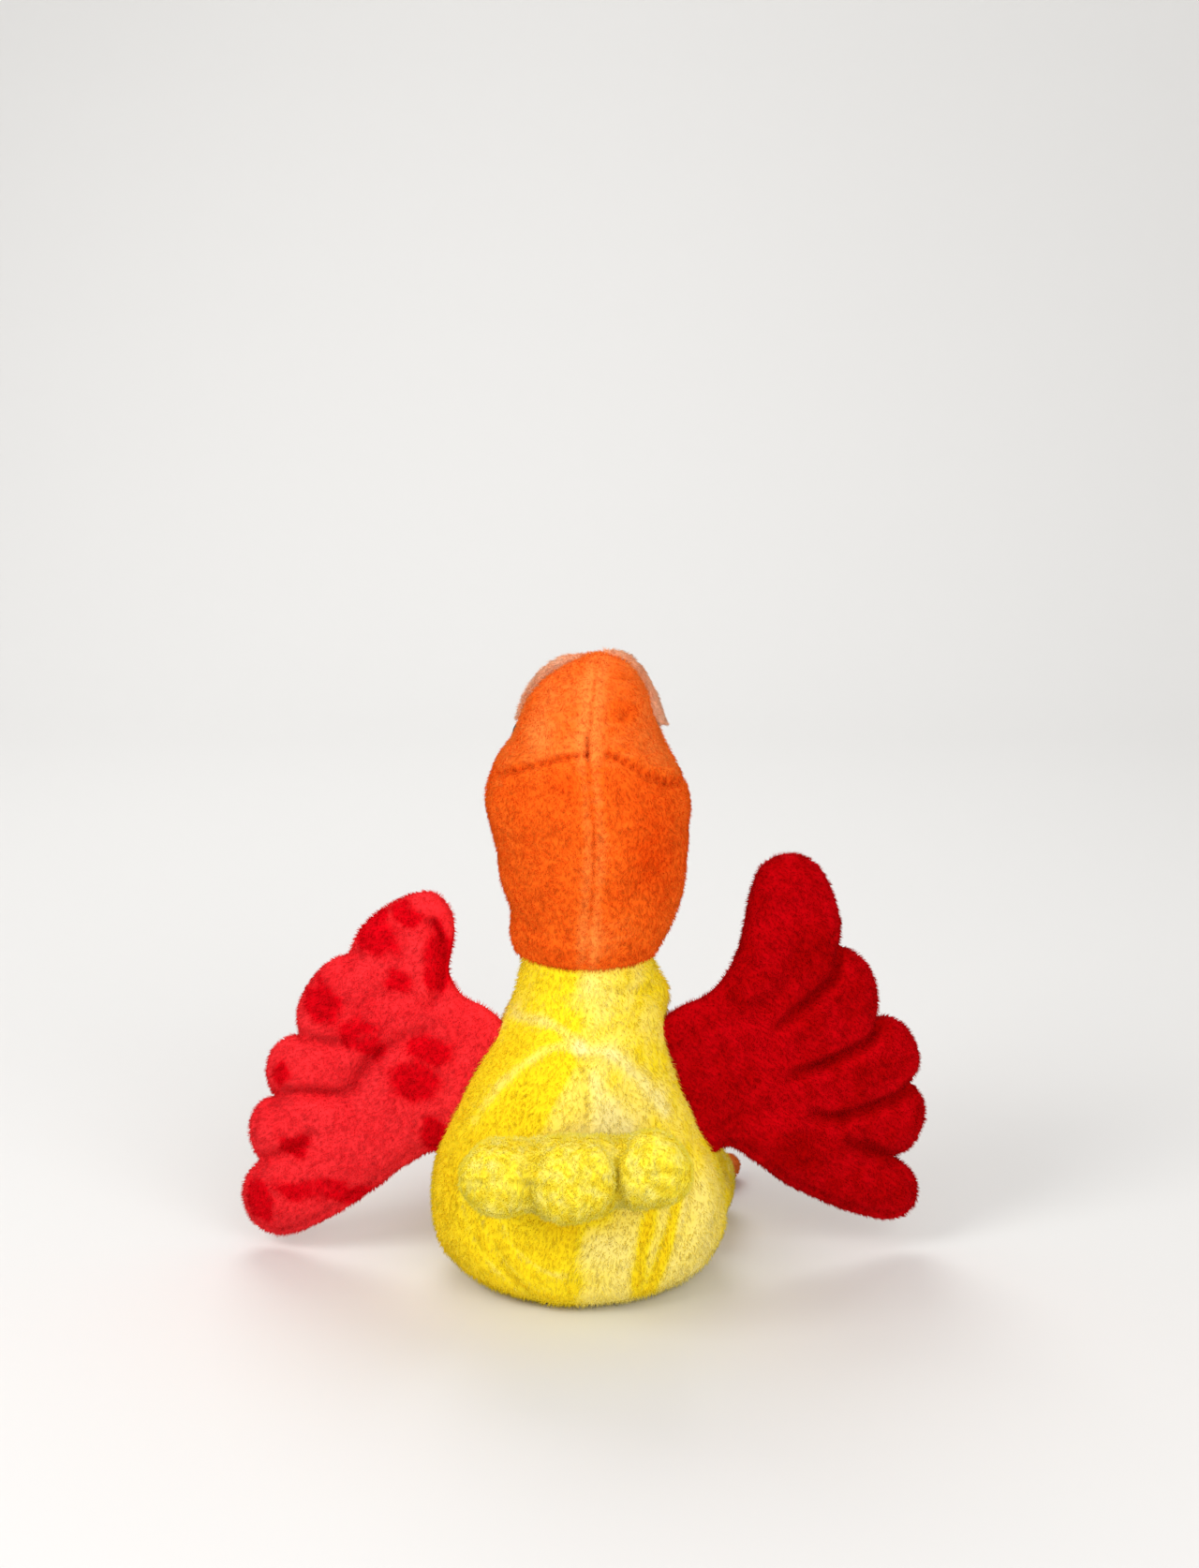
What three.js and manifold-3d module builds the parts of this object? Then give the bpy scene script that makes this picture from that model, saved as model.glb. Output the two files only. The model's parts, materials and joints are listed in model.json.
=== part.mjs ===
// Sewn plush bird that sits upright on a flat weighted seat. Millimetres, +Z up, the bird faces -Y.
// The origin is the centre of the seat, so +X is the bird's left side.
import * as THREE from "three";
import { mergeVertices } from "three/addons/utils/BufferGeometryUtils.js";
import Module from "manifold-3d";

const wasm = await Module();
wasm.setup();

// Driving dimensions
const CLOTH = 2.0; // short-pile plush with its backing
const GAP = 0.35; // clearance between pieces that touch when sewn
const FACETS = 24; // round the body and the head
const FAR = 300; // cutting blocks reach past the whole part
const LEVEL_STEPS = 10; // up the body and the head
const WING_STEPS = 42; // round a wing

// Outline of the body and the head: half width (x), half depth (y) and height (z) of each level
const BODY_LEVELS = [
  [34, 34, 0],
  [46, 45, 5],
  [53, 50, 14],
  [56, 52, 32],
  [50, 47, 58],
  [39, 38, 87],
  [31, 31, 107],
  [28, 28, 119],
];
const HEAD_LEVELS = [
  [27, 27, 127],
  [32, 34, 144],
  [37, 39, 168],
  [39, 41, 188],
  [34, 38, 203],
  [27, 32, 219],
  [17, 22, 234],
  [6, 8, 242],
];

// Neck: the head nods on a dome about this centre and turns on the vertical line through it
const NECK_CENTRE = new THREE.Vector3(0, 0, 119);
const DOME_RADIUS = 28;
const DOME_FOOT = 107; // the dome is used from here up
const SOCKET_RADIUS = 29;
const NECK_SEAM_HEIGHT = 128;
const PLUG_RADIUS = 13;
const PLUG_BOTTOM = 101;
const PLUG_OVERRUN = 5; // its hole runs on through the dome

// Seat, pellets and side seams
const BASE_PANEL_HEIGHT = 10;
const POUCH_RADIUS = 27;
const POUCH_HEIGHT = 20;
const POCKET = 20; // half width of the filling's opening under the pouch
const DART_HEIGHT = 194; // where the crown darts meet the side seams
const DART_SLOPE = 0.42; // the darts rise towards the back of the head

// Wings: a hinge seam on the body's flank, and the wing's outline outward (u) and upward (w) from it
const WING_ROOT = { x: 44, z: 75 };
const WING_SWEEP = 0.26; // radians, tips forward of the shoulders
const WING_THICKNESS = 12;
const WING_EDGE = 3.6; // rounding of the wing's rim
const WING_CLEARANCE = 5.5; // room for the root to swing beside the body
const WING_LEFT_OUTLINE = {
  leading: [[-18, 22], [-8, 30], [6, 35], [4, 59], [14, 73], [28, 69], [38, 60]],
  lobes: [
    [[45, 48], [57, 41], [65, 28]],
    [[66, 14], [75, 8], [79, -2]],
    [[77, -12], [84, -20], [87, -28]],
    [[84, -39], [91, -52], [88, -65], [77, -69]],
  ],
  trailing: [[60, -62], [36, -45], [12, -28], [0, -34]],
};
const WING_RIGHT_OUTLINE = {
  leading: [[-18, 24], [-7, 31], [8, 38], [16, 55], [20, 76], [28, 86], [40, 87], [49, 77], [54, 60]],
  lobes: [
    [[54, 51], [64, 44], [69, 33]],
    [[70, 21], [80, 17], [87, 5]],
    [[85, -7], [90, -18], [88, -28]],
    [[79, -37], [87, -45], [88, -56], [78, -62]],
  ],
  trailing: [[60, -57], [34, -44], [10, -27], [0, -34]],
};

// Tail: three rounded lobes side by side, pointing back and a little up
const TAIL_ROOT = { y: 54, z: 59, taper: 4 };
const TAIL_TILT = 0.26;
const TAIL_THICKNESS = 22;
const TAIL_LOBE_ROUNDING = 12; // length of each lobe's rounded end
const TAIL_LOBES = [
  { x: -27.5, halfWidth: 13, reach: 33 },
  { x: 1, halfWidth: 16.5, reach: 39 },
  { x: 29, halfWidth: 14, reach: 34 },
];

// Legs and feet
const HIP = { y: -30, z: 18 };
const LEG_LEFT = { x: 34, toeOut: 0.08 }; // across from the middle, and radians outward
const LEG_RIGHT = { x: -43, toeOut: -0.06 };
const LEG_RADIUS = 15;
const LEG_LENGTH = 32;
const LEG_CLEARANCE = 3; // room for the leg to swing in front of the body
const FOOT_LENGTH = 34;
const FOOT_THICKNESS = 13;
const ANKLE_GAP = 8; // room for the heel to turn in front of the leg

// Face
const BEAK = {
  y: 34,
  z: 182,
  upper: { halfWidth: 17, length: 42, halfHeight: 15, drop: 10 },
  lower: { halfWidth: 14, length: 32, halfHeight: 10, drop: 10 },
};
const CREST = {
  peak: { x: 6, z: 237 },
  shoulder: { x: 25, z: 244 },
  tip: { x: 32, z: 214 },
  hollow: { x: 22, z: 227 },
  root: { x: 12, z: 229 },
  thickness: 6,
  forward: 2,
};
const EYE = { x: 21, z: 203, radius: 5.5, stem: 1.6, washer: 6 };

const COLOURS = {
  orange: 0xf8681e,
  yellow: 0xf8dc14,
  red: 0xdc0f1e,
  peach: 0xfaa578,
  beak: 0xf2a516,
  foot: 0xdd5a1e,
  fill: 0xf4f1ea,
  pouch: 0xe4ddcc,
  black: 0x101010,
  nylon: 0xe9e9e4,
};

const group = new THREE.Group();
group.name = "plush_bird";

// Boolean solids

function solid(geometry) {
  const bare = geometry.clone();
  bare.deleteAttribute("normal");
  bare.deleteAttribute("uv");
  const merged = mergeVertices(bare, 1e-4);
  return new wasm.Manifold(
    new wasm.Mesh({
      numProp: 3,
      vertProperties: new Float32Array(merged.attributes.position.array),
      triVerts: new Uint32Array(merged.index.array),
    }),
  );
}

function geometryOf(manifold) {
  const mesh = manifold.getMesh();
  const geometry = new THREE.BufferGeometry();
  geometry.setAttribute("position", new THREE.BufferAttribute(new Float32Array(mesh.vertProperties), 3));
  geometry.setIndex(new THREE.BufferAttribute(new Uint32Array(mesh.triVerts), 1));
  geometry.computeVertexNormals();
  return geometry;
}

function addPiece(name, shape, colour, parent = group, roughness = 0.95) {
  const geometry = shape instanceof THREE.BufferGeometry ? shape : geometryOf(shape);
  const material = new THREE.MeshStandardMaterial({ color: COLOURS[colour], roughness, metalness: 0 });
  const mesh = new THREE.Mesh(geometry, material);
  mesh.name = name;
  parent.add(mesh);
  return mesh;
}

// Basic shapes

function block(low, high) {
  const size = high.map((value, i) => value - low[i]);
  const geometry = new THREE.BoxGeometry(...size);
  geometry.translate(...high.map((value, i) => (value + low[i]) / 2));
  return solid(geometry);
}

function ball(radius, centre, facets = 24) {
  const geometry = new THREE.SphereGeometry(radius, facets, facets / 2);
  geometry.rotateX(Math.PI / 2);
  geometry.translate(centre.x, centre.y, centre.z);
  return solid(geometry);
}

function lathe(profile, facets = FACETS) {
  const geometry = new THREE.LatheGeometry(profile.map(([r, h]) => new THREE.Vector2(r, h)), facets);
  geometry.rotateX(Math.PI / 2);
  return geometry;
}

// A closed body of elliptical levels; inset makes the same body smaller all round by that much
function levelsBody(levels, inset) {
  const curve = new THREE.CatmullRomCurve3(levels.map((level) => new THREE.Vector3(...level)));
  const rings = curve.getPoints(LEVEL_STEPS);
  const bottom = levels[0][2] + inset;
  const top = levels[levels.length - 1][2] - inset;
  const positions = [];
  for (const ring of rings) {
    for (let i = 0; i < FACETS; i += 1) {
      const angle = (2 * Math.PI * i) / FACETS;
      positions.push((ring.x - inset) * Math.cos(angle), (ring.y - inset) * Math.sin(angle));
      positions.push(THREE.MathUtils.clamp(ring.z, bottom, top));
    }
  }
  const last = rings.length - 1;
  positions.push(0, 0, bottom, 0, 0, top);
  const faces = [];
  for (let i = 0; i < FACETS; i += 1) {
    const next = (i + 1) % FACETS;
    for (let ring = 0; ring < last; ring += 1) {
      const a = ring * FACETS + i;
      const b = ring * FACETS + next;
      faces.push(a, b, b + FACETS, a, b + FACETS, a + FACETS);
    }
    faces.push(rings.length * FACETS, next, i);
    faces.push(rings.length * FACETS + 1, last * FACETS + i, last * FACETS + next);
  }
  const geometry = new THREE.BufferGeometry();
  geometry.setAttribute("position", new THREE.Float32BufferAttribute(positions, 3));
  geometry.setIndex(faces);
  return solid(geometry);
}

// A stuffed flat shape: an outline in its own plane, rounded at the edge, centred on that plane
function pillow(outline, thickness, edge, inset) {
  const shape = new THREE.Shape(outline);
  const geometry = new THREE.ExtrudeGeometry(shape, {
    depth: thickness - 2 * edge,
    bevelThickness: edge - inset,
    bevelSize: edge - inset,
    bevelOffset: -edge,
    bevelSegments: 2,
    curveSegments: 1,
  });
  geometry.translate(0, 0, -thickness / 2 + edge);
  return solid(geometry);
}

// The two cloth faces and the fibre fill of a stuffed flat shape, with the seam round its edge
function sewnPillow(outline, thickness, edge, cut = null) {
  const trim = (shape) => (cut ? shape.subtract(cut) : shape);
  const shell = pillow(outline, thickness, edge, 0).subtract(pillow(outline, thickness, edge, CLOTH));
  return {
    upper: trim(shell.intersect(block([-FAR, -FAR, GAP / 2], [FAR, FAR, FAR]))),
    under: trim(shell.intersect(block([-FAR, -FAR, -FAR], [FAR, FAR, -GAP / 2]))),
    fill: trim(pillow(outline, thickness, edge, CLOTH + GAP)),
  };
}

// Torso

const bodyOuter = levelsBody(BODY_LEVELS, 0).add(domeTop(0));
const bodyInner = levelsBody(BODY_LEVELS, CLOTH).add(domeTop(CLOTH));
const bodyFill = levelsBody(BODY_LEVELS, CLOTH + GAP).add(domeTop(CLOTH + GAP));

function domeTop(inset) {
  const above = block([-FAR, -FAR, DOME_FOOT], [FAR, FAR, FAR]);
  return ball(DOME_RADIUS - inset, NECK_CENTRE).intersect(above);
}

function plugSolid(radius, bottom, domeRadius) {
  const rounded = ball(domeRadius, NECK_CENTRE);
  const column = solid(lathe([[0, bottom], [radius, bottom], [radius, FAR], [0, FAR]]));
  return column.intersect(rounded.add(block([-FAR, -FAR, 0], [FAR, FAR, NECK_CENTRE.z])));
}

function pouchSolid(clearance) {
  const radius = POUCH_RADIUS + clearance;
  const bottom = CLOTH + GAP - clearance;
  const top = CLOTH + GAP + POUCH_HEIGHT + clearance;
  const middle = (bottom + top) / 2;
  return solid(lathe([[0, bottom], [radius * 0.8, bottom], [radius, middle], [radius * 0.8, top], [0, top]]));
}

function buildTorso() {
  const cloth = bodyOuter.subtract(bodyInner);
  const seam = GAP / 2;
  const top = NECK_SEAM_HEIGHT - GAP;
  const side = BASE_PANEL_HEIGHT + seam;
  const plugRoom = plugSolid(PLUG_RADIUS + GAP, PLUG_BOTTOM - GAP, DOME_RADIUS + PLUG_OVERRUN);
  addPiece("body_back_left", cloth.intersect(block([seam, seam, side], [FAR, FAR, top])), "yellow");
  addPiece("body_back_right", cloth.intersect(block([-FAR, seam, side], [-seam, FAR, top])), "yellow");
  addPiece("belly_panel", cloth.intersect(block([-FAR, -FAR, side], [FAR, -seam, top])), "yellow");
  const bottom = block([-FAR, -FAR, -1], [FAR, FAR, BASE_PANEL_HEIGHT - seam]);
  addPiece("seat_panel", cloth.intersect(bottom), "yellow");
  const pocket = pouchSolid(GAP).add(block([-POCKET, -POCKET, 0], [POCKET, POCKET, CLOTH + GAP * 2]));
  addPiece("body_stuffing", bodyFill.subtract(pocket).subtract(plugRoom), "fill");
  addPiece("pellet_pouch", pouchSolid(0), "pouch");
  addPiece("neck_stuffing", plugSolid(PLUG_RADIUS, PLUG_BOTTOM, DOME_RADIUS - 0.2), "fill");
}

// Head

const socket = ball(SOCKET_RADIUS, NECK_CENTRE);
const headFloor = block([-FAR, -FAR, 0], [FAR, FAR, NECK_SEAM_HEIGHT + 1]);
const headOuter = levelsBody(HEAD_LEVELS, 0);
const headInner = levelsBody(HEAD_LEVELS, CLOTH);
const headFill = levelsBody(HEAD_LEVELS, CLOTH + GAP);

// Everything above the dart plane, which leans up towards the back of the head
function aboveDart(offset) {
  const geometry = new THREE.BoxGeometry(FAR, FAR, FAR);
  geometry.translate(0, 0, FAR / 2 + offset);
  geometry.rotateX(Math.atan(DART_SLOPE));
  geometry.translate(0, 0, DART_HEIGHT);
  return solid(geometry);
}

// A solid of revolution whose own axis points along the eye's outward direction
function atEye(side, profile) {
  const geometry = lathe(profile, 16);
  const outward = new THREE.Vector3(side * 0.72, -0.62, 0.31).normalize();
  geometry.applyQuaternion(new THREE.Quaternion().setFromUnitVectors(new THREE.Vector3(0, 0, 1), outward));
  const centre = eyeCentre(side, outward);
  geometry.translate(centre.x, centre.y, centre.z);
  return solid(geometry);
}

// The point where the eye's stem passes through the outside of the cloth
function eyeCentre(side, outward) {
  const y = -Math.sqrt(1 - (EYE.x / 34) ** 2) * 38;
  return new THREE.Vector3(side * EYE.x, y, EYE.z).addScaledVector(outward, 0.6);
}

function buildEyes(face, fill) {
  let openFace = face;
  let openFill = fill;
  const { radius, stem, washer } = EYE;
  for (const [side, word] of [[1, "left"], [-1, "right"]]) {
    const dome = [[0, -6], [stem, -6], [stem, 0.6], [radius, 0.6], [radius * 0.8, 3], [radius * 0.4, 4.4], [0, 4.9]];
    const eyeRoom = [[0, -7], [stem + GAP, -7], [stem + GAP, -2], [radius + GAP, 0.3], [radius + GAP, 8], [0, 8]];
    const ring = [[stem + GAP, -5.4], [washer, -5.4], [washer, -4.2], [stem + GAP, -4.2], [stem + GAP, -5.4]];
    const ringRoom = [[0, -7.5], [washer + 1, -7.5], [washer + 1, -1.4], [0, -1.4]];
    openFace = openFace.subtract(atEye(side, eyeRoom)).subtract(atEye(side, ringRoom));
    openFill = openFill.subtract(atEye(side, eyeRoom)).subtract(atEye(side, ringRoom));
    addPiece(`eye_${word}`, atEye(side, dome), "black", group, 0.15);
    addPiece(`eye_washer_${word}`, atEye(side, ring), "nylon", group, 0.6);
  }
  return { openFace, openFill };
}

// An ellipsoid that starts inside the face, cut to sit against it and kept on one side of the mouth
function beakHalf({ halfWidth, length, halfHeight, drop }, above) {
  const geometry = new THREE.SphereGeometry(1, 16, 10);
  geometry.rotateX(Math.PI / 2);
  geometry.scale(halfWidth, length, halfHeight);
  const side = above
    ? block([-FAR, -FAR, GAP / 2], [FAR, 0, FAR])
    : block([-FAR, -FAR, -FAR], [FAR, 0, -GAP / 2]);
  const half = solid(geometry).intersect(side);
  return half.rotate([drop, 0, 0]).translate([0, -BEAK.y, BEAK.z]).subtract(levelsBody(HEAD_LEVELS, -GAP));
}

function buildBeak() {
  addPiece("beak_upper", beakHalf(BEAK.upper, true), "beak");
  addPiece("beak_lower", beakHalf(BEAK.lower, false), "beak");
}

// Crescent flaps that stand just outside the crown, from near the peak down to a free tip
function buildCrest() {
  const crown = levelsBody(HEAD_LEVELS, -GAP);
  for (const [side, word] of [[1, "left"], [-1, "right"]]) {
    const outline = new THREE.Shape();
    outline.moveTo(side * CREST.peak.x, CREST.peak.z);
    outline.quadraticCurveTo(side * CREST.shoulder.x, CREST.shoulder.z, side * CREST.tip.x, CREST.tip.z);
    outline.quadraticCurveTo(side * CREST.hollow.x, CREST.hollow.z, side * CREST.root.x, CREST.root.z);
    outline.closePath();
    const settings = { depth: CREST.thickness, bevelEnabled: false, curveSegments: 8 };
    const geometry = new THREE.ExtrudeGeometry(outline, settings);
    geometry.rotateX(Math.PI / 2);
    geometry.translate(0, -CREST.forward, 0);
    addPiece(`crest_${word}`, solid(geometry).subtract(crown), "peach");
  }
}

function buildHead() {
  const seam = GAP / 2;
  const cloth = headOuter.subtract(headInner).subtract(socket).subtract(headFloor);
  const fill = headFill.subtract(socket).subtract(headFloor);
  const above = aboveDart(seam);
  const below = aboveDart(-seam);
  const backLeft = block([seam, seam, 0], [FAR, FAR, FAR]);
  const backRight = block([-FAR, seam, 0], [-seam, FAR, FAR]);
  addPiece("head_back_left", cloth.intersect(backLeft).subtract(below), "orange");
  addPiece("head_back_right", cloth.intersect(backRight).subtract(below), "orange");
  addPiece("crown_left", cloth.intersect(backLeft).intersect(above), "orange");
  addPiece("crown_right", cloth.intersect(backRight).intersect(above), "orange");
  const face = cloth.intersect(block([-FAR, -FAR, 0], [FAR, -seam, FAR]));
  const { openFace, openFill } = buildEyes(face, fill);
  addPiece("face_panel", openFace, "orange");
  addPiece("head_stuffing", openFill, "fill");
  buildBeak();
  buildCrest();
}

// Wings

// From the top of the root round the leading edge and the lobes, each after its notch, to the root's foot
function wingOutline({ leading, lobes, trailing }) {
  const points = [...leading, ...lobes.flat(), ...trailing].map(([u, w]) => new THREE.Vector3(u, w, 0));
  const edge = new THREE.CatmullRomCurve3(points, false, "centripetal");
  return edge.getPoints(WING_STEPS).map((point) => new THREE.Vector2(point.x, point.y));
}

function buildWing(word, side, outline) {
  const hinge = new THREE.Group();
  hinge.position.set(side * WING_ROOT.x, 0, WING_ROOT.z);
  hinge.rotation.set(0, 0, -side * WING_SWEEP);
  const upright = new THREE.Group();
  upright.rotation.set(Math.PI / 2, 0, 0);
  hinge.add(upright);
  group.add(hinge);
  const flat = wingOutline(outline).map((point) => new THREE.Vector2(side * point.x, point.y));
  const bodyRoom = levelsBody(BODY_LEVELS, -WING_CLEARANCE)
    .translate([-side * WING_ROOT.x, 0, -WING_ROOT.z])
    .rotate([0, 0, side * THREE.MathUtils.radToDeg(WING_SWEEP)])
    .rotate([-90, 0, 0]);
  const { upper, under, fill } = sewnPillow(flat, WING_THICKNESS, WING_EDGE, bodyRoom);
  addPiece(`wing_${word}_front`, upper, "red", upright);
  addPiece(`wing_${word}_back`, under, "red", upright);
  addPiece(`wing_${word}_stuffing`, fill, "fill", upright);
}

// Tail

function tailOutline() {
  const outline = [];
  const first = TAIL_LOBES[0];
  const last = TAIL_LOBES[TAIL_LOBES.length - 1];
  outline.push(new THREE.Vector2(last.x + last.halfWidth - TAIL_ROOT.taper, 0));
  for (const { x, halfWidth, reach } of [...TAIL_LOBES].reverse()) {
    for (let i = 0; i <= 8; i += 1) {
      const angle = (Math.PI * (i + 0.8)) / 9.6;
      const along = reach - TAIL_LOBE_ROUNDING * (1 - Math.sin(angle));
      outline.push(new THREE.Vector2(x + halfWidth * Math.cos(angle), along));
    }
  }
  outline.push(new THREE.Vector2(first.x - first.halfWidth + TAIL_ROOT.taper, 0));
  return outline;
}

function buildTail() {
  const root = new THREE.Group();
  root.position.set(0, TAIL_ROOT.y, TAIL_ROOT.z);
  root.rotation.set(TAIL_TILT, 0, 0);
  group.add(root);
  const { upper, under, fill } = sewnPillow(tailOutline(), TAIL_THICKNESS, 6);
  addPiece("tail_upper", upper, "yellow", root);
  addPiece("tail_under", under, "yellow", root);
  addPiece("tail_stuffing", fill, "fill", root);
}

// Legs and feet

// A webbed foot seen from above: a heel, then three toes with the web drawn in between them
function footOutline() {
  const points = [
    [-7, 0], [-10, -12], [-17, -25], [-14, -31], [-8, -29], [-3, -33], [0, -FOOT_LENGTH],
    [3, -33], [8, -29], [14, -31], [17, -25], [10, -12], [7, 0], [0, 3],
  ].map(([x, y]) => new THREE.Vector3(x, y, 0));
  const edge = new THREE.CatmullRomCurve3(points, true, "centripetal");
  return edge.getPoints(24).slice(0, -1).map((point) => new THREE.Vector2(point.x, point.y));
}

function capsule(radius, length) {
  const profile = [[0, 0], [radius * 0.75, 0], [radius, radius * 0.3]];
  profile.push([radius, length - radius * 0.3], [radius * 0.7, length], [0, length]);
  const geometry = lathe(profile, 18);
  geometry.rotateX(Math.PI / 2);
  return solid(geometry);
}

function buildLeg(word, { x, toeOut }) {
  const hip = new THREE.Group();
  hip.position.set(x, HIP.y, HIP.z);
  hip.rotation.set(0, 0, toeOut);
  group.add(hip);
  const bodyRoom = levelsBody(BODY_LEVELS, -LEG_CLEARANCE)
    .translate([-x, -HIP.y, -HIP.z])
    .rotate([0, 0, -THREE.MathUtils.radToDeg(toeOut)]);
  const inner = (inset) => capsule(LEG_RADIUS - inset, LEG_LENGTH - 2 * inset).translate([0, -inset, 0]);
  const cloth = capsule(LEG_RADIUS, LEG_LENGTH).subtract(inner(CLOTH));
  addPiece(`leg_${word}_cover`, cloth.subtract(bodyRoom), "yellow", hip);
  addPiece(`leg_${word}_stuffing`, inner(CLOTH + GAP).subtract(bodyRoom), "fill", hip);
  const foot = new THREE.Group();
  foot.position.set(0, -LEG_LENGTH - ANKLE_GAP, -HIP.z + FOOT_THICKNESS / 2);
  hip.add(foot);
  const { upper, under, fill: padding } = sewnPillow(footOutline(), FOOT_THICKNESS, 3.4);
  addPiece(`foot_${word}_upper`, upper, "foot", foot);
  addPiece(`foot_${word}_sole`, under, "foot", foot);
  addPiece(`foot_${word}_stuffing`, padding, "fill", foot);
}

buildTorso();
buildHead();
buildLeg("left", LEG_LEFT);
buildLeg("right", LEG_RIGHT);
buildWing("left", 1, WING_LEFT_OUTLINE);
buildWing("right", -1, WING_RIGHT_OUTLINE);
buildTail();

export default group;
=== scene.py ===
"""A sewn plush bird seen from behind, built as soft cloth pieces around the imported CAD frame.

The bird faces -Y and sits on its seat at the origin. Shapes are written in millimetres in the frame's own
axes and become metres when a mesh is made.
"""
import json
import math

import bmesh
import bpy
import numpy as np
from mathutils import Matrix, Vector, geometry


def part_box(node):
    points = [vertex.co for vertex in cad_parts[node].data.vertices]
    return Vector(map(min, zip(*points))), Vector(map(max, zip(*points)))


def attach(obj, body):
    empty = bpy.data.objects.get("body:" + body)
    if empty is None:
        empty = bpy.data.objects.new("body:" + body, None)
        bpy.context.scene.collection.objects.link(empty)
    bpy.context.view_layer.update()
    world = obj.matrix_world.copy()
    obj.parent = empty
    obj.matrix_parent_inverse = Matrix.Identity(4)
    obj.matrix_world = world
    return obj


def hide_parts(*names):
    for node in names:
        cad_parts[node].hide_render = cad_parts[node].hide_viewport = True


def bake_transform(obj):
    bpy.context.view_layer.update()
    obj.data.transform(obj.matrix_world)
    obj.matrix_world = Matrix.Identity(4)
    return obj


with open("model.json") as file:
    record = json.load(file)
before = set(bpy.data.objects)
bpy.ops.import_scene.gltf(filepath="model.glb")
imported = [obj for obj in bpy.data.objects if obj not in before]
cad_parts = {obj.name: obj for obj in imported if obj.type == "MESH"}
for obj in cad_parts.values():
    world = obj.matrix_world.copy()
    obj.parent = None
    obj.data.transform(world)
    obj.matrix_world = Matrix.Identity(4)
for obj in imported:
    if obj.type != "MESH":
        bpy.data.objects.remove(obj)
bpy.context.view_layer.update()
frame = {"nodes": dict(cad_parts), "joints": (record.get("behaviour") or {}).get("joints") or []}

MM = 0.001
ACROSS = np.array([1.0, 0.0, 0.0])
UP = np.array([0.0, 0.0, 1.0])


def box_mm(node):
    low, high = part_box(node)
    return np.array(low) / MM, np.array(high) / MM


def joint_centre(name):
    """The place of a joint, in millimetres."""
    found = next(joint for joint in frame["joints"] if joint["name"] == name)
    return np.array(found["pos_m"]) / MM


# Driving heights from the frame, in millimetres
NECK_SEAM = box_mm("belly_panel")[1][2]
HEAD_TOP = box_mm("crown_left")[1][2]


# ---- shape helpers


def smooth_table(levels, at):
    """Smooth cubic through a short table whose first column is the place; returns the other columns."""
    table = np.array(levels, float)
    place = table[:, 0]
    values = table[:, 1:]
    slopes = np.zeros_like(values)
    steps = np.diff(place)[:, None]
    secants = np.diff(values, axis=0) / steps
    slopes[1:-1] = (secants[:-1] * steps[1:] + secants[1:] * steps[:-1]) / (steps[1:] + steps[:-1])
    slopes[0] = secants[0]
    slopes[-1] = secants[-1]
    at = np.clip(np.asarray(at, float), place[0], place[-1])
    i = np.clip(np.searchsorted(place, at, side="right") - 1, 0, len(place) - 2)
    span = (place[i + 1] - place[i])[:, None]
    t = ((at - place[i]) / span[:, 0])[:, None]
    return (
        (2 * t**3 - 3 * t**2 + 1) * values[i]
        + (t**3 - 2 * t**2 + t) * span * slopes[i]
        + (-2 * t**3 + 3 * t**2) * values[i + 1]
        + (t**3 - t**2) * span * slopes[i + 1]
    )


def waves(points, size, seed, octaves=2):
    """Smooth noise from about -1 to 1 at each point, with features of about that size in millimetres."""
    random = np.random.default_rng(seed)
    total = np.zeros(len(points))
    weight = 0.0
    for octave in range(octaves):
        share = 0.5**octave
        for _ in range(7):
            direction = random.normal(size=3)
            direction *= 2 * math.pi / (size * 0.5**octave) / np.linalg.norm(direction)
            direction *= random.uniform(0.6, 1.3)
            total += share * np.sin(points @ direction + random.uniform(0, 2 * math.pi))
        weight += share * 7
    return total / weight * 2.2


def curve_points(points, count=40):
    """A smooth curve through a few given points."""
    points = np.array(points, float)
    place = np.concatenate([[0], np.cumsum(np.linalg.norm(np.diff(points, axis=0), axis=1))])
    return smooth_table(np.column_stack([place, points]), np.linspace(0, place[-1], count))


def nearest(points, line, with_place=False):
    """Distance from each point to a polyline, and how far along it (0 to 1) the nearest place is."""
    best = np.full(len(points), 1e9)
    where = np.zeros(len(points))
    pieces = len(line) - 1
    for i in range(pieces):
        start, end = line[i], line[i + 1]
        along = end - start
        t = np.clip((points - start) @ along / max(along @ along, 1e-12), 0, 1)
        away = np.linalg.norm(points - start - t[:, None] * along, axis=1)
        closer = away < best
        best = np.where(closer, away, best)
        where = np.where(closer, (i + t) / pieces, where)
    return (best, where) if with_place else best


def valley(distance, width):
    """1 on a line, falling smoothly to 0 a few widths away."""
    return np.exp(-((distance / width) ** 2))


def spot(points, middle, size):
    """1 at the middle of an oval, falling smoothly to 0 about two of its half sizes away."""
    return valley(np.linalg.norm((points - middle) / size, axis=1), 1.0)


def object_from(name, points, faces):
    """A mesh object from points in millimetres."""
    mesh = bpy.data.meshes.new(name)
    mesh.from_pydata((np.asarray(points) * MM).tolist(), [], faces)
    mesh.validate()
    obj = bpy.data.objects.new(name, mesh)
    bpy.context.scene.collection.objects.link(obj)
    mesh.polygons.foreach_set("use_smooth", [True] * len(mesh.polygons))
    return obj


def coordinates(obj):
    co = np.zeros(len(obj.data.vertices) * 3)
    obj.data.vertices.foreach_get("co", co)
    return co.reshape(-1, 3) / MM


def set_coordinates(obj, points):
    obj.data.vertices.foreach_set("co", (np.asarray(points) * MM).ravel())
    obj.data.update()


def normals(obj):
    vectors = np.zeros(len(obj.data.vertices) * 3)
    obj.data.vertices.foreach_get("normal", vectors)
    return vectors.reshape(-1, 3)


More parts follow.
